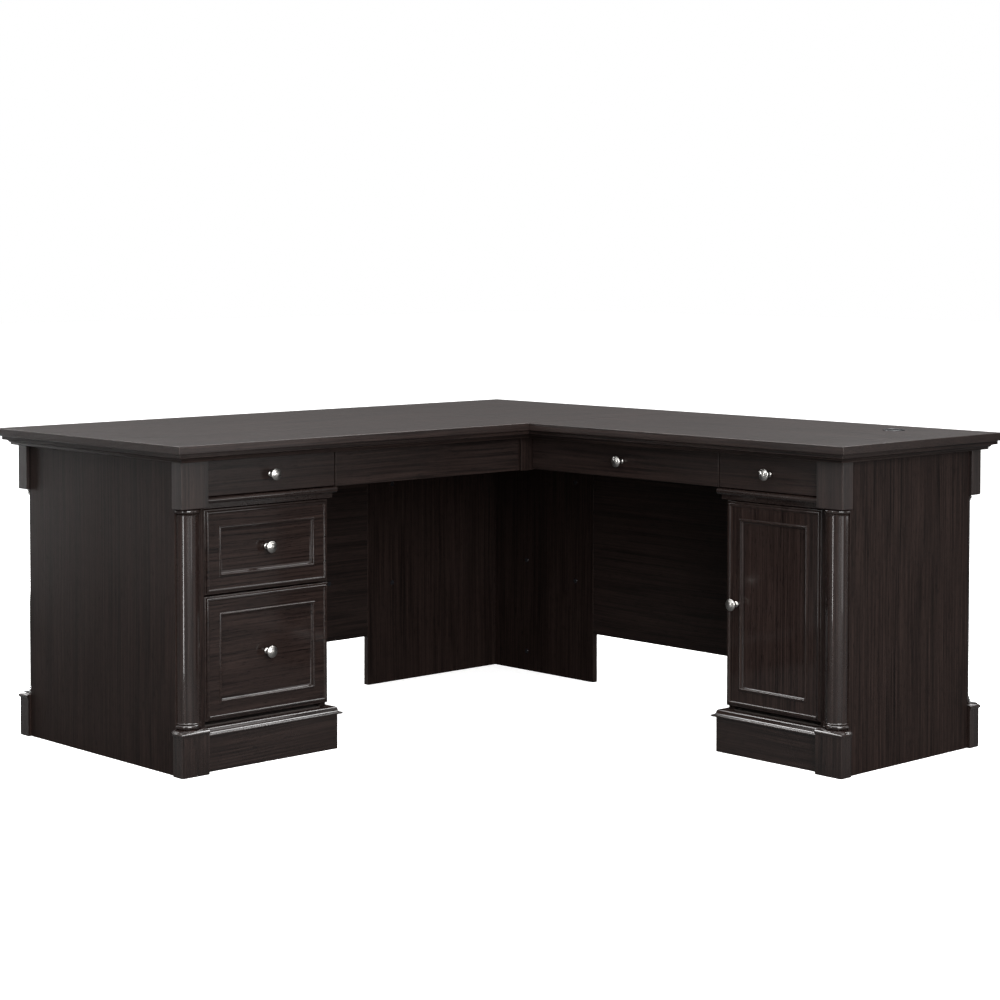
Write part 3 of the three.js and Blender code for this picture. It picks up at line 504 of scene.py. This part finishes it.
def whole_turned(profile, steps):
    """A full turning about Z, with a map that runs round it and along its outline in metres."""
    shape = bmesh.new()
    around = shape.loops.layers.uv.new("turned")
    lengths = [0.0]
    for first, second in zip(profile, profile[1:]):
        lengths.append(lengths[-1] + math.dist(first, second))
    rings = []
    for radius, height in profile:
        if radius == 0:
            rings.append([shape.verts.new((0, 0, height))] * steps)
            continue
        angles = [2 * math.pi * step / steps for step in range(steps)]
        rings.append([shape.verts.new((radius * math.cos(a), radius * math.sin(a), height)) for a in angles])
    for row in range(len(profile) - 1):
        for step in range(steps):
            after = (step + 1) % steps
            corners = [
                (rings[row][step], step, row),
                (rings[row][after], step + 1, row),
                (rings[row + 1][after], step + 1, row + 1),
                (rings[row + 1][step], step, row + 1),
            ]
            seen = []
            for corner in corners:
                if corner[0] not in [vert for vert, _, _ in seen]:
                    seen.append(corner)
            face = shape.faces.new([vert for vert, _, _ in seen])
            for loop, (_, column, line) in zip(face.loops, seen):
                loop[around].uv = (column / steps, lengths[line])
    bmesh.ops.recalc_face_normals(shape, faces=shape.faces)
    return shape


def brushed_nickel_finish():
    """Nickel plate with fine turned lines and slightly dulled hollows."""
    material, tree, surface, place = new_material("brushed_nickel")
    turned = add(tree, "ShaderNodeUVMap", uv_map="turned").outputs[0]
    round_it = {0: turned, 1: (6.0, 9000.0, 1.0)}
    stretched = add(tree, "ShaderNodeVectorMath", round_it, operation="MULTIPLY").outputs[0]
    lines = clouds(tree, stretched, 1.0, 3.0)
    cloud = clouds(tree, place, 160.0, 3.0)
    tone = tint(tree, spread(tree, cloud, 0.3, 0.7), NICKEL_DARK, NICKEL_LIGHT)
    tone = tint(tree, spread(tree, lines, 0.3, 0.7, 0.0, 0.35), tone, NICKEL_LINE)
    tree.links.new(tone, surface["Base Color"])
    tree.links.new(spread(tree, lines, 0.3, 0.7, 0.22, 0.36), surface["Roughness"])
    surface["Metallic"].default_value = 1.0
    bump = add(tree, "ShaderNodeBump", {"Strength": 0.2, "Distance": 0.00004, "Height": lines})
    tree.links.new(bump.outputs[0], surface["Normal"])
    return material


def knob_profile(length, radius):
    """Small rose, slim stem, a collar and a flat mushroom head, from the front outwards."""
    rose = [(0, 0), (0.0066, 0), (0.0068, 0.0005), (0.0066, 0.0011), (0.0054, 0.0016)]
    stem = [(0.0044, 0.0026), (0.0040, 0.0045), (0.0039, 0.0085)]
    stem += [(0.0042, length - 0.0140), (0.0050, length - 0.0124)]
    collar = arc_points((0.0056, length - 0.0116), 0.0007, -70, 60, 5)
    under = [(0.0075, length - 0.0102), (radius - 0.0040, length - 0.0094)]
    under += [(radius - 0.0016, length - 0.0084)]
    rim = arc_points((radius - 0.0020, length - 0.0064), 0.0020, -55, 70, 8)
    ridge = [(radius - 0.0022, length - 0.0040), (radius - 0.0026, length - 0.0038)]
    ridge += [(radius - 0.0031, length - 0.0036)]
    rise = 0.0036
    dome_radius = ((radius - 0.0033) ** 2 + rise**2) / (2 * rise)
    reach = math.degrees(math.asin((radius - 0.0033) / dome_radius))
    dome = arc_points((0, length - dome_radius), dome_radius, 90 - reach, 90, 10)[:-1]
    return rose + stem + collar + under + rim + ridge + dome + [(0, length)]


def stand(shape, place, outward, flatness=1.0):
    """The turning moved to that place with its axis outward, and its height scaled."""
    turn = Vector(outward).to_track_quat("Z", "Y").to_matrix().to_4x4()
    squash = Matrix.Diagonal((1, 1, flatness, 1))
    bmesh.ops.transform(shape, matrix=Matrix.Translation(place) @ squash @ turn, verts=shape.verts)
    return shape


nickel = brushed_nickel_finish()


def fit_knob(node, body, outward):
    """A knob on its frame node's place, standing out along that direction."""
    low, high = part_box(node)
    out = Vector(outward)
    middle = (Vector(low) + Vector(high)) / 2
    length = abs((Vector(high) - Vector(low)).dot(out))
    radius = (high[2] - low[2]) / 2
    shape = stand(whole_turned(knob_profile(length, radius), KNOB_STEPS), middle - out * length / 2, out)
    finished("turned_" + node, shape, nickel, body, [node], KNOB_CREASE)


for drawer in DRAWER_BODIES[:3]:
    fit_knob(drawer + "_knob", drawer, (0, -1, 0))
fit_knob("right_top_drawer_knob", "right_top_drawer", (-1, 0, 0))
fit_knob("keyboard_knob", "keyboard_drop_front", (-1, 0, 0))
fit_knob("cabinet_knob", "cabinet_door", (-1, 0, 0))


# ---- Cable grommet ----
# A moulded black sleeve pushed into a hole in the return top, with a flange and an open bore.
# Its face has a fine spark-eroded texture.
PLASTIC_DARK = (0.006, 0.006, 0.007, 1)
PLASTIC_LIGHT = (0.016, 0.016, 0.018, 1)


def moulded_black_finish():
    """Black moulded plastic."""
    material, tree, surface, place = new_material("moulded_black")
    grit = clouds(tree, place, 2600.0, 2.0)
    cloud = clouds(tree, place, 40.0, 3.0)
    tree.links.new(tint(tree, cloud, PLASTIC_DARK, PLASTIC_LIGHT), surface["Base Color"])
    tree.links.new(spread(tree, cloud, 0.3, 0.7, 0.16, 0.26), surface["Roughness"])
    bump = add(tree, "ShaderNodeBump", {"Strength": 0.3, "Distance": 0.00006, "Height": grit})
    tree.links.new(bump.outputs[0], surface["Normal"])
    return material


moulded_black = moulded_black_finish()
dress(["cable_grommet"], moulded_black, arris=0.0004)


# ---- Hinge cups ----
# Pressed steel cups, zinc plated, let into bored holes in the back of the door.
# They turn with the door; their arms stay on the carcase.
ZINC_DULL = (0.42, 0.43, 0.45, 1)
ZINC_BRIGHT = (0.60, 0.61, 0.62, 1)


def zinc_plate_finish():
    """Bright zinc plate with its faint spangle."""
    material, tree, surface, place = new_material("zinc_plate")
    spangle = add(tree, "ShaderNodeTexVoronoi", {"Vector": place, "Scale": 320.0}).outputs["Color"]
    patch = clouds(tree, place, 70.0, 4.0)
    dull = tint(tree, patch, ZINC_DULL, ZINC_BRIGHT)
    tree.links.new(tint(tree, 0.12, dull, spangle, "OVERLAY"), surface["Base Color"])
    tree.links.new(spread(tree, patch, 0.3, 0.7, 0.30, 0.46), surface["Roughness"])
    surface["Metallic"].default_value = 1.0
    bump = add(tree, "ShaderNodeBump", {"Strength": 0.15, "Distance": 0.00005, "Height": patch})
    tree.links.new(bump.outputs[0], surface["Normal"])
    return material


zinc_plate = zinc_plate_finish()
dress(["upper_hinge", "lower_hinge"], zinc_plate, "cabinet_door", 0.0003)


# ---- Drawer slides ----
# Zinc-plated ball slides, a channel on the carcase round a smaller one on the drawer's side.
# Spacer uprights and a hanger board bring the carcase out to them; pan-head screws hold both members.
SLIDE_HALF = 0.0225
RUNNER_HALF = 0.0175
SLIDE_ROOM = 0.0127
PLATE = 0.0012
LIP_ROOM = 0.0095
SCREW_RADIUS = 0.0036
SCREW_RISE = 0.0016
SCREW_SIDES = 16
SCREWS_TO_A_MEMBER = 4
SCREW_INSET = 0.045
SCREW_SEED = 11
BOARD_FOOT = 0.1005
BOARD_HEAD = 0.7115
SPACER_THICKNESS = 0.016
SLIDE_GAP = 0.013
SHELF_GAP = 0.0003
LEFT_SPACER_SPANS = [(0.2275, 0.3275), (0.640, 0.740)]
RIGHT_SPACER_SPANS = [(0.3420, 0.4400), (0.560, 0.640)]
LEFT_SLIDE_SPAN = (0.2290, 0.7200)
RIGHT_SLIDE_SPAN = (0.3430, 0.6480)
TRAY_SLIDE_SPAN = (0.3430, 0.6400)
LEFT_LEVELS = {"left_top_drawer": 0.666, "left_middle_drawer": 0.460, "left_file_drawer": 0.200}
RIGHT_LEVEL = 0.666
TRAY_LEVEL = 0.662


def prism(outline, start, end, axis=1):
    """A bar along X (0) or Y (1) from start to end with that outline of (across, z) points."""
    shape = bmesh.new()
    rows = []
    for reach in (start, end):
        places = [(across, reach, z) if axis == 1 else (reach, across, z) for across, z in outline]
        rows.append([shape.verts.new(place) for place in places])
    for step in range(len(outline)):
        after = (step + 1) % len(outline)
        shape.faces.new([rows[0][step], rows[0][after], rows[1][after], rows[1][step]])
    shape.faces.new(rows[0])
    shape.faces.new(list(reversed(rows[1])))
    bmesh.ops.recalc_face_normals(shape, faces=shape.faces)
    return shape


def channel(back, lip, half, into):
    """An open channel's outline: a web at the back and two flanges with turned-over lips."""
    web = back + into * PLATE
    inner = lip - into * PLATE
    tall = half - PLATE
    short = half - 0.004
    low = [(back, -half), (lip, -half), (lip, -short), (inner, -short), (inner, -tall), (web, -tall)]
    return low + [(x, -z) for x, z in reversed(low)]


def screw_shape():
    """A pan head with a cross cut into it, standing on Z."""
    shape = bmesh.new()
    rings = [(SCREW_RADIUS, 0), (SCREW_RADIUS, SCREW_RISE * 0.4), (SCREW_RADIUS * 0.8, SCREW_RISE * 0.85)]
    rings += [(SCREW_RADIUS * 0.55, SCREW_RISE), (SCREW_RADIUS * 0.30, SCREW_RISE * 0.35)]
    rows = []
    for number, (radius, height) in enumerate(rings):
        row = []
        for step in range(SCREW_SIDES):
            reach = radius * (0.35 if number == 4 and step % 4 == 2 else 1.0)
            angle = 2 * math.pi * step / SCREW_SIDES
            row.append(shape.verts.new((reach * math.cos(angle), reach * math.sin(angle), height)))
        rows.append(row)
    for first, second in zip(rows, rows[1:]):
        for step in range(SCREW_SIDES):
            after = (step + 1) % SCREW_SIDES
            shape.faces.new([first[step], first[after], second[after], second[step]])
    shape.faces.new(rows[-1])
    shape.faces.new(list(reversed(rows[0])))
    mesh = bpy.data.meshes.new("pan_head")
    shape.to_mesh(mesh)
    shape.free()
    return bpy.data.objects.new("pan_head", mesh)


def screw_row_tree():
    """Geometry nodes: a line of screws, each turned by chance about its own axis."""
    tree = bpy.data.node_groups.new("screw_row", "GeometryNodeTree")
    sockets = {"Geometry": "NodeSocketGeometry", "Screw": "NodeSocketObject", "Count": "NodeSocketInt"}
    sockets.update({"Start": "NodeSocketVector", "Step": "NodeSocketVector", "Facing": "NodeSocketVector"})
    sockets.update({"Seed": "NodeSocketInt", "Finish": "NodeSocketMaterial"})
    for label, kind in sockets.items():
        tree.interface.new_socket(label, in_out="INPUT", socket_type=kind)
    tree.interface.new_socket("Geometry", in_out="OUTPUT", socket_type="NodeSocketGeometry")
    given = tree.nodes.new("NodeGroupInput").outputs
    line = add(
        tree,
        "GeometryNodeMeshLine",
        {"Count": given["Count"], "Start Location": given["Start"], "Offset": given["Step"]},
    )
    head = add(tree, "GeometryNodeObjectInfo", {"Object": given["Screw"]}).outputs["Geometry"]
    facing = add(tree, "FunctionNodeEulerToRotation", {"Euler": given["Facing"]}).outputs[0]
    on_points = {"Points": line.outputs[0], "Instance": head, "Rotation": facing}
    placed = add(tree, "GeometryNodeInstanceOnPoints", on_points)
    chance = add(tree, "FunctionNodeRandomValue", {"Seed": given["Seed"]}, data_type="FLOAT")
    turn = add(tree, "ShaderNodeCombineXYZ", {"Z": chance.outputs[1]}).outputs[0]
    spin = add(tree, "FunctionNodeEulerToRotation", {"Euler": turn}).outputs[0]
    turned = add(tree, "GeometryNodeRotateInstances", {"Instances": placed.outputs[0], "Rotation": spin})
    real = add(tree, "GeometryNodeRealizeInstances", {"Geometry": turned.outputs[0]})
    dressed = add(tree, "GeometryNodeSetMaterial", {"Geometry": real.outputs[0], "Material": given["Finish"]})
    tree.links.new(dressed.outputs[0], tree.nodes.new("NodeGroupOutput").inputs["Geometry"])
    return tree


pan_head = screw_shape()
screw_row = screw_row_tree()


def fit_screws(name, body, count, start, step, facing):
    """A baked row of screws on that body; facing is the way their heads look."""
    carrier = bpy.data.objects.new(name, bpy.data.meshes.new(name))
    bpy.context.scene.collection.objects.link(carrier)
    row = carrier.modifiers.new("screws", "NODES")
    row.node_group = screw_row
    turn = Vector(facing).to_track_quat("Z", "Y").to_euler()
    values = {"Screw": pan_head, "Count": count, "Start": start, "Step": step, "Facing": turn}
    values.update({"Seed": SCREW_SEED, "Finish": zinc_plate})
    for socket in screw_row.interface.items_tree:
        if socket.in_out == "INPUT" and socket.name in values:
            row[socket.identifier] = values[socket.name]
    seen = carrier.evaluated_get(bpy.context.evaluated_depsgraph_get())
    baked = bpy.data.meshes.new_from_object(seen)
    bpy.data.objects.remove(carrier)
    shape = bmesh.new()
    shape.from_mesh(baked)
    finished(name, shape, zinc_plate, body)


def fit_slide(name, drawer, axis, mount, into, span, level):
    """Both members of one slide along X (0) or Y (1), from the mount face into the room beside the drawer."""
    start, end = span
    onward = Vector((axis == 0, axis == 1, 0))
    across = Vector((axis == 1, axis == 0, 0))
    fixed = channel(mount, mount + into * LIP_ROOM, SLIDE_HALF, into)
    far = mount + into * SLIDE_ROOM
    moving = channel(far, far - into * (SLIDE_ROOM - 0.0045), RUNNER_HALF, -into)
    members = [
        ("channel", "carcase", fixed, mount + into * PLATE, into),
        ("runner", drawer, moving, far - into * PLATE, -into),
    ]
    for label, body, outline, seat, facing in members:
        shape = prism([(side, z + level) for side, z in outline], start, end, axis)
        finished(f"{name}_{label}", shape, zinc_plate, body)
        step = onward * ((end - start - 2 * SCREW_INSET) / (SCREWS_TO_A_MEMBER - 1))
        first = across * seat + onward * (start + SCREW_INSET) + Vector((0, 0, level))
        fit_screws(f"{name}_{label}_screws", body, SCREWS_TO_A_MEMBER, first, step, across * facing)


def fit_board(name, low, high):
    """A plain inside board with its arrises eased."""
    shape = bmesh.new()
    bmesh.ops.create_cube(shape, size=1)
    size = [top - bottom for bottom, top in zip(low, high)]
    middle = [(top + bottom) / 2 for bottom, top in zip(low, high)]
    place = Matrix.Translation(middle) @ Matrix.Diagonal(size + [1])
    bmesh.ops.transform(shape, matrix=place, verts=shape.verts)
    bmesh.ops.bevel(shape, geom=list(shape.edges), offset=0.0004, segments=2, profile=0.5, affect="EDGES")
    finished(name, shape, inside_board, "carcase")


left_inner_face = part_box("left_inner_panel")[0][0]
left_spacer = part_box("left_top_drawer_box")[0][0] - SLIDE_GAP
for number, (near, far) in enumerate(LEFT_SPACER_SPANS):
    low = (left_spacer - SPACER_THICKNESS, near, BOARD_FOOT)
    fit_board(f"left_spacer_{number}", low, (left_spacer, far, BOARD_HEAD))
for drawer, level in LEFT_LEVELS.items():
    fit_slide(drawer + "_outer_slide", drawer, 1, left_spacer, 1, LEFT_SLIDE_SPAN, level)
    fit_slide(drawer + "_inner_slide", drawer, 1, left_inner_face, -1, LEFT_SLIDE_SPAN, level)

right_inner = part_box("right_inner_panel")
right_inner_face = right_inner[0][1]
right_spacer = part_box("right_top_drawer_box")[0][1] - SLIDE_GAP
shelf_low, shelf_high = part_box("cabinet_shelf")
storeys = [(BOARD_FOOT, shelf_low[2] - SHELF_GAP), (shelf_high[2] + SHELF_GAP, BOARD_HEAD)]
for number, (near, far) in enumerate(RIGHT_SPACER_SPANS):
    for storey, (floor, top) in enumerate(storeys):
        low = (near, right_spacer - SPACER_THICKNESS, floor)
        fit_board(f"right_spacer_{number}_{storey}", low, (far, right_spacer, top))
for label, mount, into in (("outer", right_spacer, 1), ("inner", right_inner_face, -1)):
    name = f"right_top_drawer_{label}_slide"
    fit_slide(name, "right_top_drawer", 0, mount, into, RIGHT_SLIDE_SPAN, RIGHT_LEVEL)

tray_low, tray_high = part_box("keyboard_tray")
hanger_face = tray_high[1] + SLIDE_ROOM
packer_face = tray_low[1] - SLIDE_ROOM
fit_board("tray_hanger", (0.3245, hanger_face, 0.628), (0.700, hanger_face + 0.0158, 0.7325))
fit_board("tray_packer", (0.3430, right_inner[1][1] + 0.0002, 0.636), (0.648, packer_face, 0.690))
fit_slide("tray_outer_slide", "keyboard_tray", 0, hanger_face, -1, TRAY_SLIDE_SPAN, TRAY_LEVEL)
fit_slide("tray_inner_slide", "keyboard_tray", 0, packer_face, 1, TRAY_SLIDE_SPAN, TRAY_LEVEL)


# ---- Hinge arms and shelf pins ----
# Each door hinge has an arm on a cross plate, screwed to the spacer upright beside the door.
# Four steel pins in the cabinet's sides carry the shelf.
HINGE_PLATE_HALF = 0.017
HINGE_PLATE_LIP = 0.0035
ARM_HALF = 0.0075
ARM_FACE = 0.0115
ARM_LIP = 0.0042
PLATE_SPAN = (0.3560, 0.4000)
ARM_SPAN = (0.3560, 0.4120)
ARM_SCREW_START = 0.372
ARM_SCREW_STEP = 0.024
PIN_STEPS = 24
PIN_DROP = 0.0052
PIN_INSET = 0.05
PIN_INSET_BY_HINGE = 0.09
for hinge in ("upper_hinge", "lower_hinge"):
    cup_low, cup_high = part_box(hinge)
    level = (cup_low[2] + cup_high[2]) / 2
    plate = channel(right_spacer, right_spacer + HINGE_PLATE_LIP, HINGE_PLATE_HALF, 1)
    arm = channel(right_spacer + ARM_FACE, right_spacer + ARM_LIP, ARM_HALF, -1)
    for label, outline, (start, end) in (("plate", plate, PLATE_SPAN), ("arm", arm, ARM_SPAN)):
        shape = prism([(side, z + level) for side, z in outline], start, end, 0)
        finished(f"{hinge}_{label}", shape, zinc_plate, "carcase")
    first = Vector((ARM_SCREW_START, right_spacer + ARM_FACE, level))
    fit_screws(hinge + "_arm_screws", "carcase", 2, first, (ARM_SCREW_STEP, 0, 0), (0, 1, 0))

PIN_PROFILE = [(0, 0), (0.0045, 0), (0.0048, 0.0004), (0.0048, 0.0020), (0.0030, 0.0022), (0.0025, 0.0028)]
PIN_PROFILE += [(0.0025, 0.0088), (0.0020, 0.0095), (0, 0.0096)]
end_panel_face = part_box("right_end_panel")[1][1]
pin_places = [
    (shelf_low[0] + PIN_INSET, right_inner_face, -1),
    (shelf_high[0] - PIN_INSET, right_inner_face, -1),
    (shelf_low[0] + PIN_INSET_BY_HINGE, end_panel_face, 1),
    (shelf_high[0] - PIN_INSET, end_panel_face, 1),
]
for number, (pin_x, pin_y, way) in enumerate(pin_places):
    shape = stand(whole_turned(PIN_PROFILE, PIN_STEPS), (pin_x, pin_y, shelf_low[2] - PIN_DROP), (0, way, 0))
    finished(f"shelf_pin_{number}", shape, zinc_plate, "carcase")


# ---- Catches and fastener caps ----
# Small black plastic catches under the cornice keep the top row shut; each is one moulded roller bar.
# Push-in caps of the same plastic hide the cam fasteners on the boards behind the knee space.
CATCH_HALF = 0.0075
CATCH_RADIUS = 0.0028
CATCH_FLATNESS = 0.55
CATCH_STEPS = 24
CATCH_REACH = 0.007
CAP_STEPS = 32
MAIN_CAP_PLACES = [(0.340, 0.273), (0.340, 0.545), (0.117, 0.290), (0.117, 0.560)]
RETURN_CAP_PLACES = [(0.447, 0.273), (0.447, 0.545), (0.640, 0.054), (0.640, 0.312)]
CAP_PROFILE = [(0, 0), (0.0064, 0), (0.0066, 0.0003), (0.0062, 0.0009), (0.0050, 0.0013), (0.0030, 0.0013)]
CAP_PROFILE += [(0.0024, 0.0010), (0, 0.0010)]


def fit_catch(name, place, aim):
    """A domed bar lying under the cornice's soffit."""
    dome = arc_points((0, CATCH_RADIUS - CATCH_HALF), CATCH_RADIUS, -75, 0, 5)
    profile = [(0, -CATCH_HALF)] + dome
    profile += [(radius, -height) for radius, height in reversed(dome)] + [(0, CATCH_HALF)]
    shape = stand(whole_turned(profile, CATCH_STEPS), place, aim, CATCH_FLATNESS)
    finished(name, shape, moulded_black, "carcase")


def fit_cap(name, place, outward):
    """A push-in cap on a board, its rim against the face."""
    shape = stand(whole_turned(CAP_PROFILE, CAP_STEPS), place, outward)
    finished(name, shape, moulded_black, "carcase")


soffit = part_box("main_front_cornice")[0][2]
catch_level = soffit - CATCH_RADIUS * CATCH_FLATNESS
main_catch_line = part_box("left_top_drawer_front")[0][1] - CATCH_REACH
return_catch_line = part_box("keyboard_front")[0][0] - CATCH_REACH
fit_catch("left_catch", (-0.530, main_catch_line, catch_level), (1, 0, 0))
fit_catch("keyboard_catch", (return_catch_line, -0.165, catch_level), (0, 1, 0))
fit_catch("right_catch", (return_catch_line, -0.622, catch_level), (0, 1, 0))
main_leg_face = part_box("main_leg_panel")[0][1]
return_leg_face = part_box("return_leg_panel")[0][0]
for number, (across, level) in enumerate(MAIN_CAP_PLACES):
    fit_cap(f"main_cap_{number}", (across, main_leg_face, level), (0, -1, 0))
for number, (across, level) in enumerate(RETURN_CAP_PLACES):
    fit_cap(f"return_cap_{number}", (return_leg_face, across, level), (-1, 0, 0))


# ---- Studio ----
# A pale seamless floor in white air, both much dimmer to the desk than to the camera.
# Large soft lamps light the boards, and narrow ones draw lines along beads and columns.
CAMERA_PLACE = Vector((-3.8215, -4.0753, 1.1726))
CAMERA_YAW = math.radians(47.10)
CAMERA_PITCH = math.radians(-2.34)
LENS_LENGTH = 84.05
LENS_SHIFT = (0.0171, -0.15)
FLOOR_HALF = 30
FLOOR_WHITE = 0.86
FLOOR_DIM = 0.07
FLOOR_LIFT = 0.75
WHITE_AIR = 1.0
DIM_AIR = 0.22
PURE_WHITE = (1, 1, 1, 1)
floor_shape = bmesh.new()
bmesh.ops.create_grid(floor_shape, x_segments=1, y_segments=1, size=FLOOR_HALF)
floor_mesh = bpy.data.meshes.new("studio_floor")
floor_shape.to_mesh(floor_mesh)
floor_shape.free()
floor_finish, floor_tree, floor_surface, _ = new_material("studio_floor")
looked_at = add(floor_tree, "ShaderNodeLightPath").outputs["Is Camera Ray"]
floor_tone = tint(floor_tree, looked_at, [FLOOR_DIM] * 3 + [1], [FLOOR_WHITE] * 3 + [1])
floor_tree.links.new(floor_tone, floor_surface["Base Color"])
lift = add(floor_tree, "ShaderNodeMath", {0: looked_at, 1: FLOOR_LIFT}, operation="MULTIPLY").outputs[0]
floor_tree.links.new(lift, floor_surface["Emission Strength"])
floor_surface["Emission Color"].default_value = PURE_WHITE
floor_surface["Roughness"].default_value = 0.9
floor_surface["Specular IOR Level"].default_value = 0.1
floor_mesh.materials.append(floor_finish)
studio_floor = bpy.data.objects.new("studio_floor", floor_mesh)
bpy.context.scene.collection.objects.link(studio_floor)

world = bpy.data.worlds.new("studio_air")
world.use_nodes = True
air = world.node_tree
white_air = air.nodes["Background"]
white_air.inputs["Strength"].default_value = WHITE_AIR
white_air.inputs["Color"].default_value = PURE_WHITE
dim_air = add(air, "ShaderNodeBackground", {"Color": PURE_WHITE, "Strength": DIM_AIR})
straight = add(air, "ShaderNodeLightPath").outputs["Is Camera Ray"]
both_airs = add(air, "ShaderNodeMixShader", {0: straight, 1: dim_air.outputs[0], 2: white_air.outputs[0]})
air.links.new(both_airs.outputs[0], air.nodes["World Output"].inputs["Surface"])
bpy.context.scene.world = world


def lamp(name, kind, place, aim, energy, **settings):
    """A lamp at that place, turned towards its aim."""
    light = bpy.data.lights.new(name, kind)
    light.energy = energy
    for setting, value in settings.items():
        setattr(light, setting, value)
    holder = bpy.data.objects.new(name, light)
    holder.location = place
    holder.rotation_mode = "QUATERNION"
    holder.rotation_quaternion = (Vector(aim) - Vector(place)).to_track_quat("-Z", "Y")
    holder.visible_camera = False
    bpy.context.scene.collection.objects.link(holder)


DESK_MIDDLE = (0, 0, 0.45)
lamp("open_sky", "SUN", (0, 0, 5), (0.35, 0.3, 0), 2.6, angle=math.radians(100))
lamp("overhead_box", "AREA", (-1.4, -1.3, 3.4), DESK_MIDDLE, 100, size=3.2)
lamp("front_fill", "AREA", (-2.2, -4.5, 1.8), DESK_MIDDLE, 270, size=2.6)
lamp("low_panel", "AREA", (1.75, -3.4, 0.75), (-0.6, 0.2, 0.6), 12, shape="RECTANGLE", size=1.5, size_y=1.0)
lamp("west_panel", "AREA", (-2.3, 1.55, 0.75), (0.4, -0.8, 0.6), 1.8, shape="RECTANGLE", size=0.5, size_y=0.7)
lamp("over_panel_east", "AREA", (1.9, -0.4, 3.6), (-0.3, 0.1, 0.5), 110, size=1.7)
lamp("over_panel_north", "AREA", (-0.4, 1.9, 3.6), (0.3, -0.4, 0.5), 80, size=1.5)
tall_boxes = [
    ("north_west_box", (-0.8, 2.5, 0.9), (-0.75, 0, 0.8), 38, 0.7, 1.6),
    ("right_strip", (-1.94, -0.33, 0.9), (0.32, -0.79, 0.9), 9, 0.12, 1.8),
    ("soft_strip", (-0.3, -3.2, 0.9), (-0.3, 0, 0.9), 5, 0.7, 1.8),
]
for label, place, aim, energy, width, height in tall_boxes:
    lamp(label, "AREA", place, aim, energy, shape="RECTANGLE", size=width, size_y=height)

lens = bpy.data.cameras.new("studio_camera")
lens.sensor_width = 36
lens.lens = LENS_LENGTH
lens.shift_x, lens.shift_y = LENS_SHIFT
lens.clip_end = 100
camera = bpy.data.objects.new("studio_camera", lens)
camera.location = CAMERA_PLACE
level_reach = math.cos(CAMERA_PITCH)
sight = Vector(
    (math.cos(CAMERA_YAW) * level_reach, math.sin(CAMERA_YAW) * level_reach, math.sin(CAMERA_PITCH))
)
camera.rotation_mode = "QUATERNION"
camera.rotation_quaternion = sight.to_track_quat("-Z", "Y")
bpy.context.scene.collection.objects.link(camera)
bpy.context.scene.camera = camera
bpy.context.scene.view_settings.view_transform = "Standard"
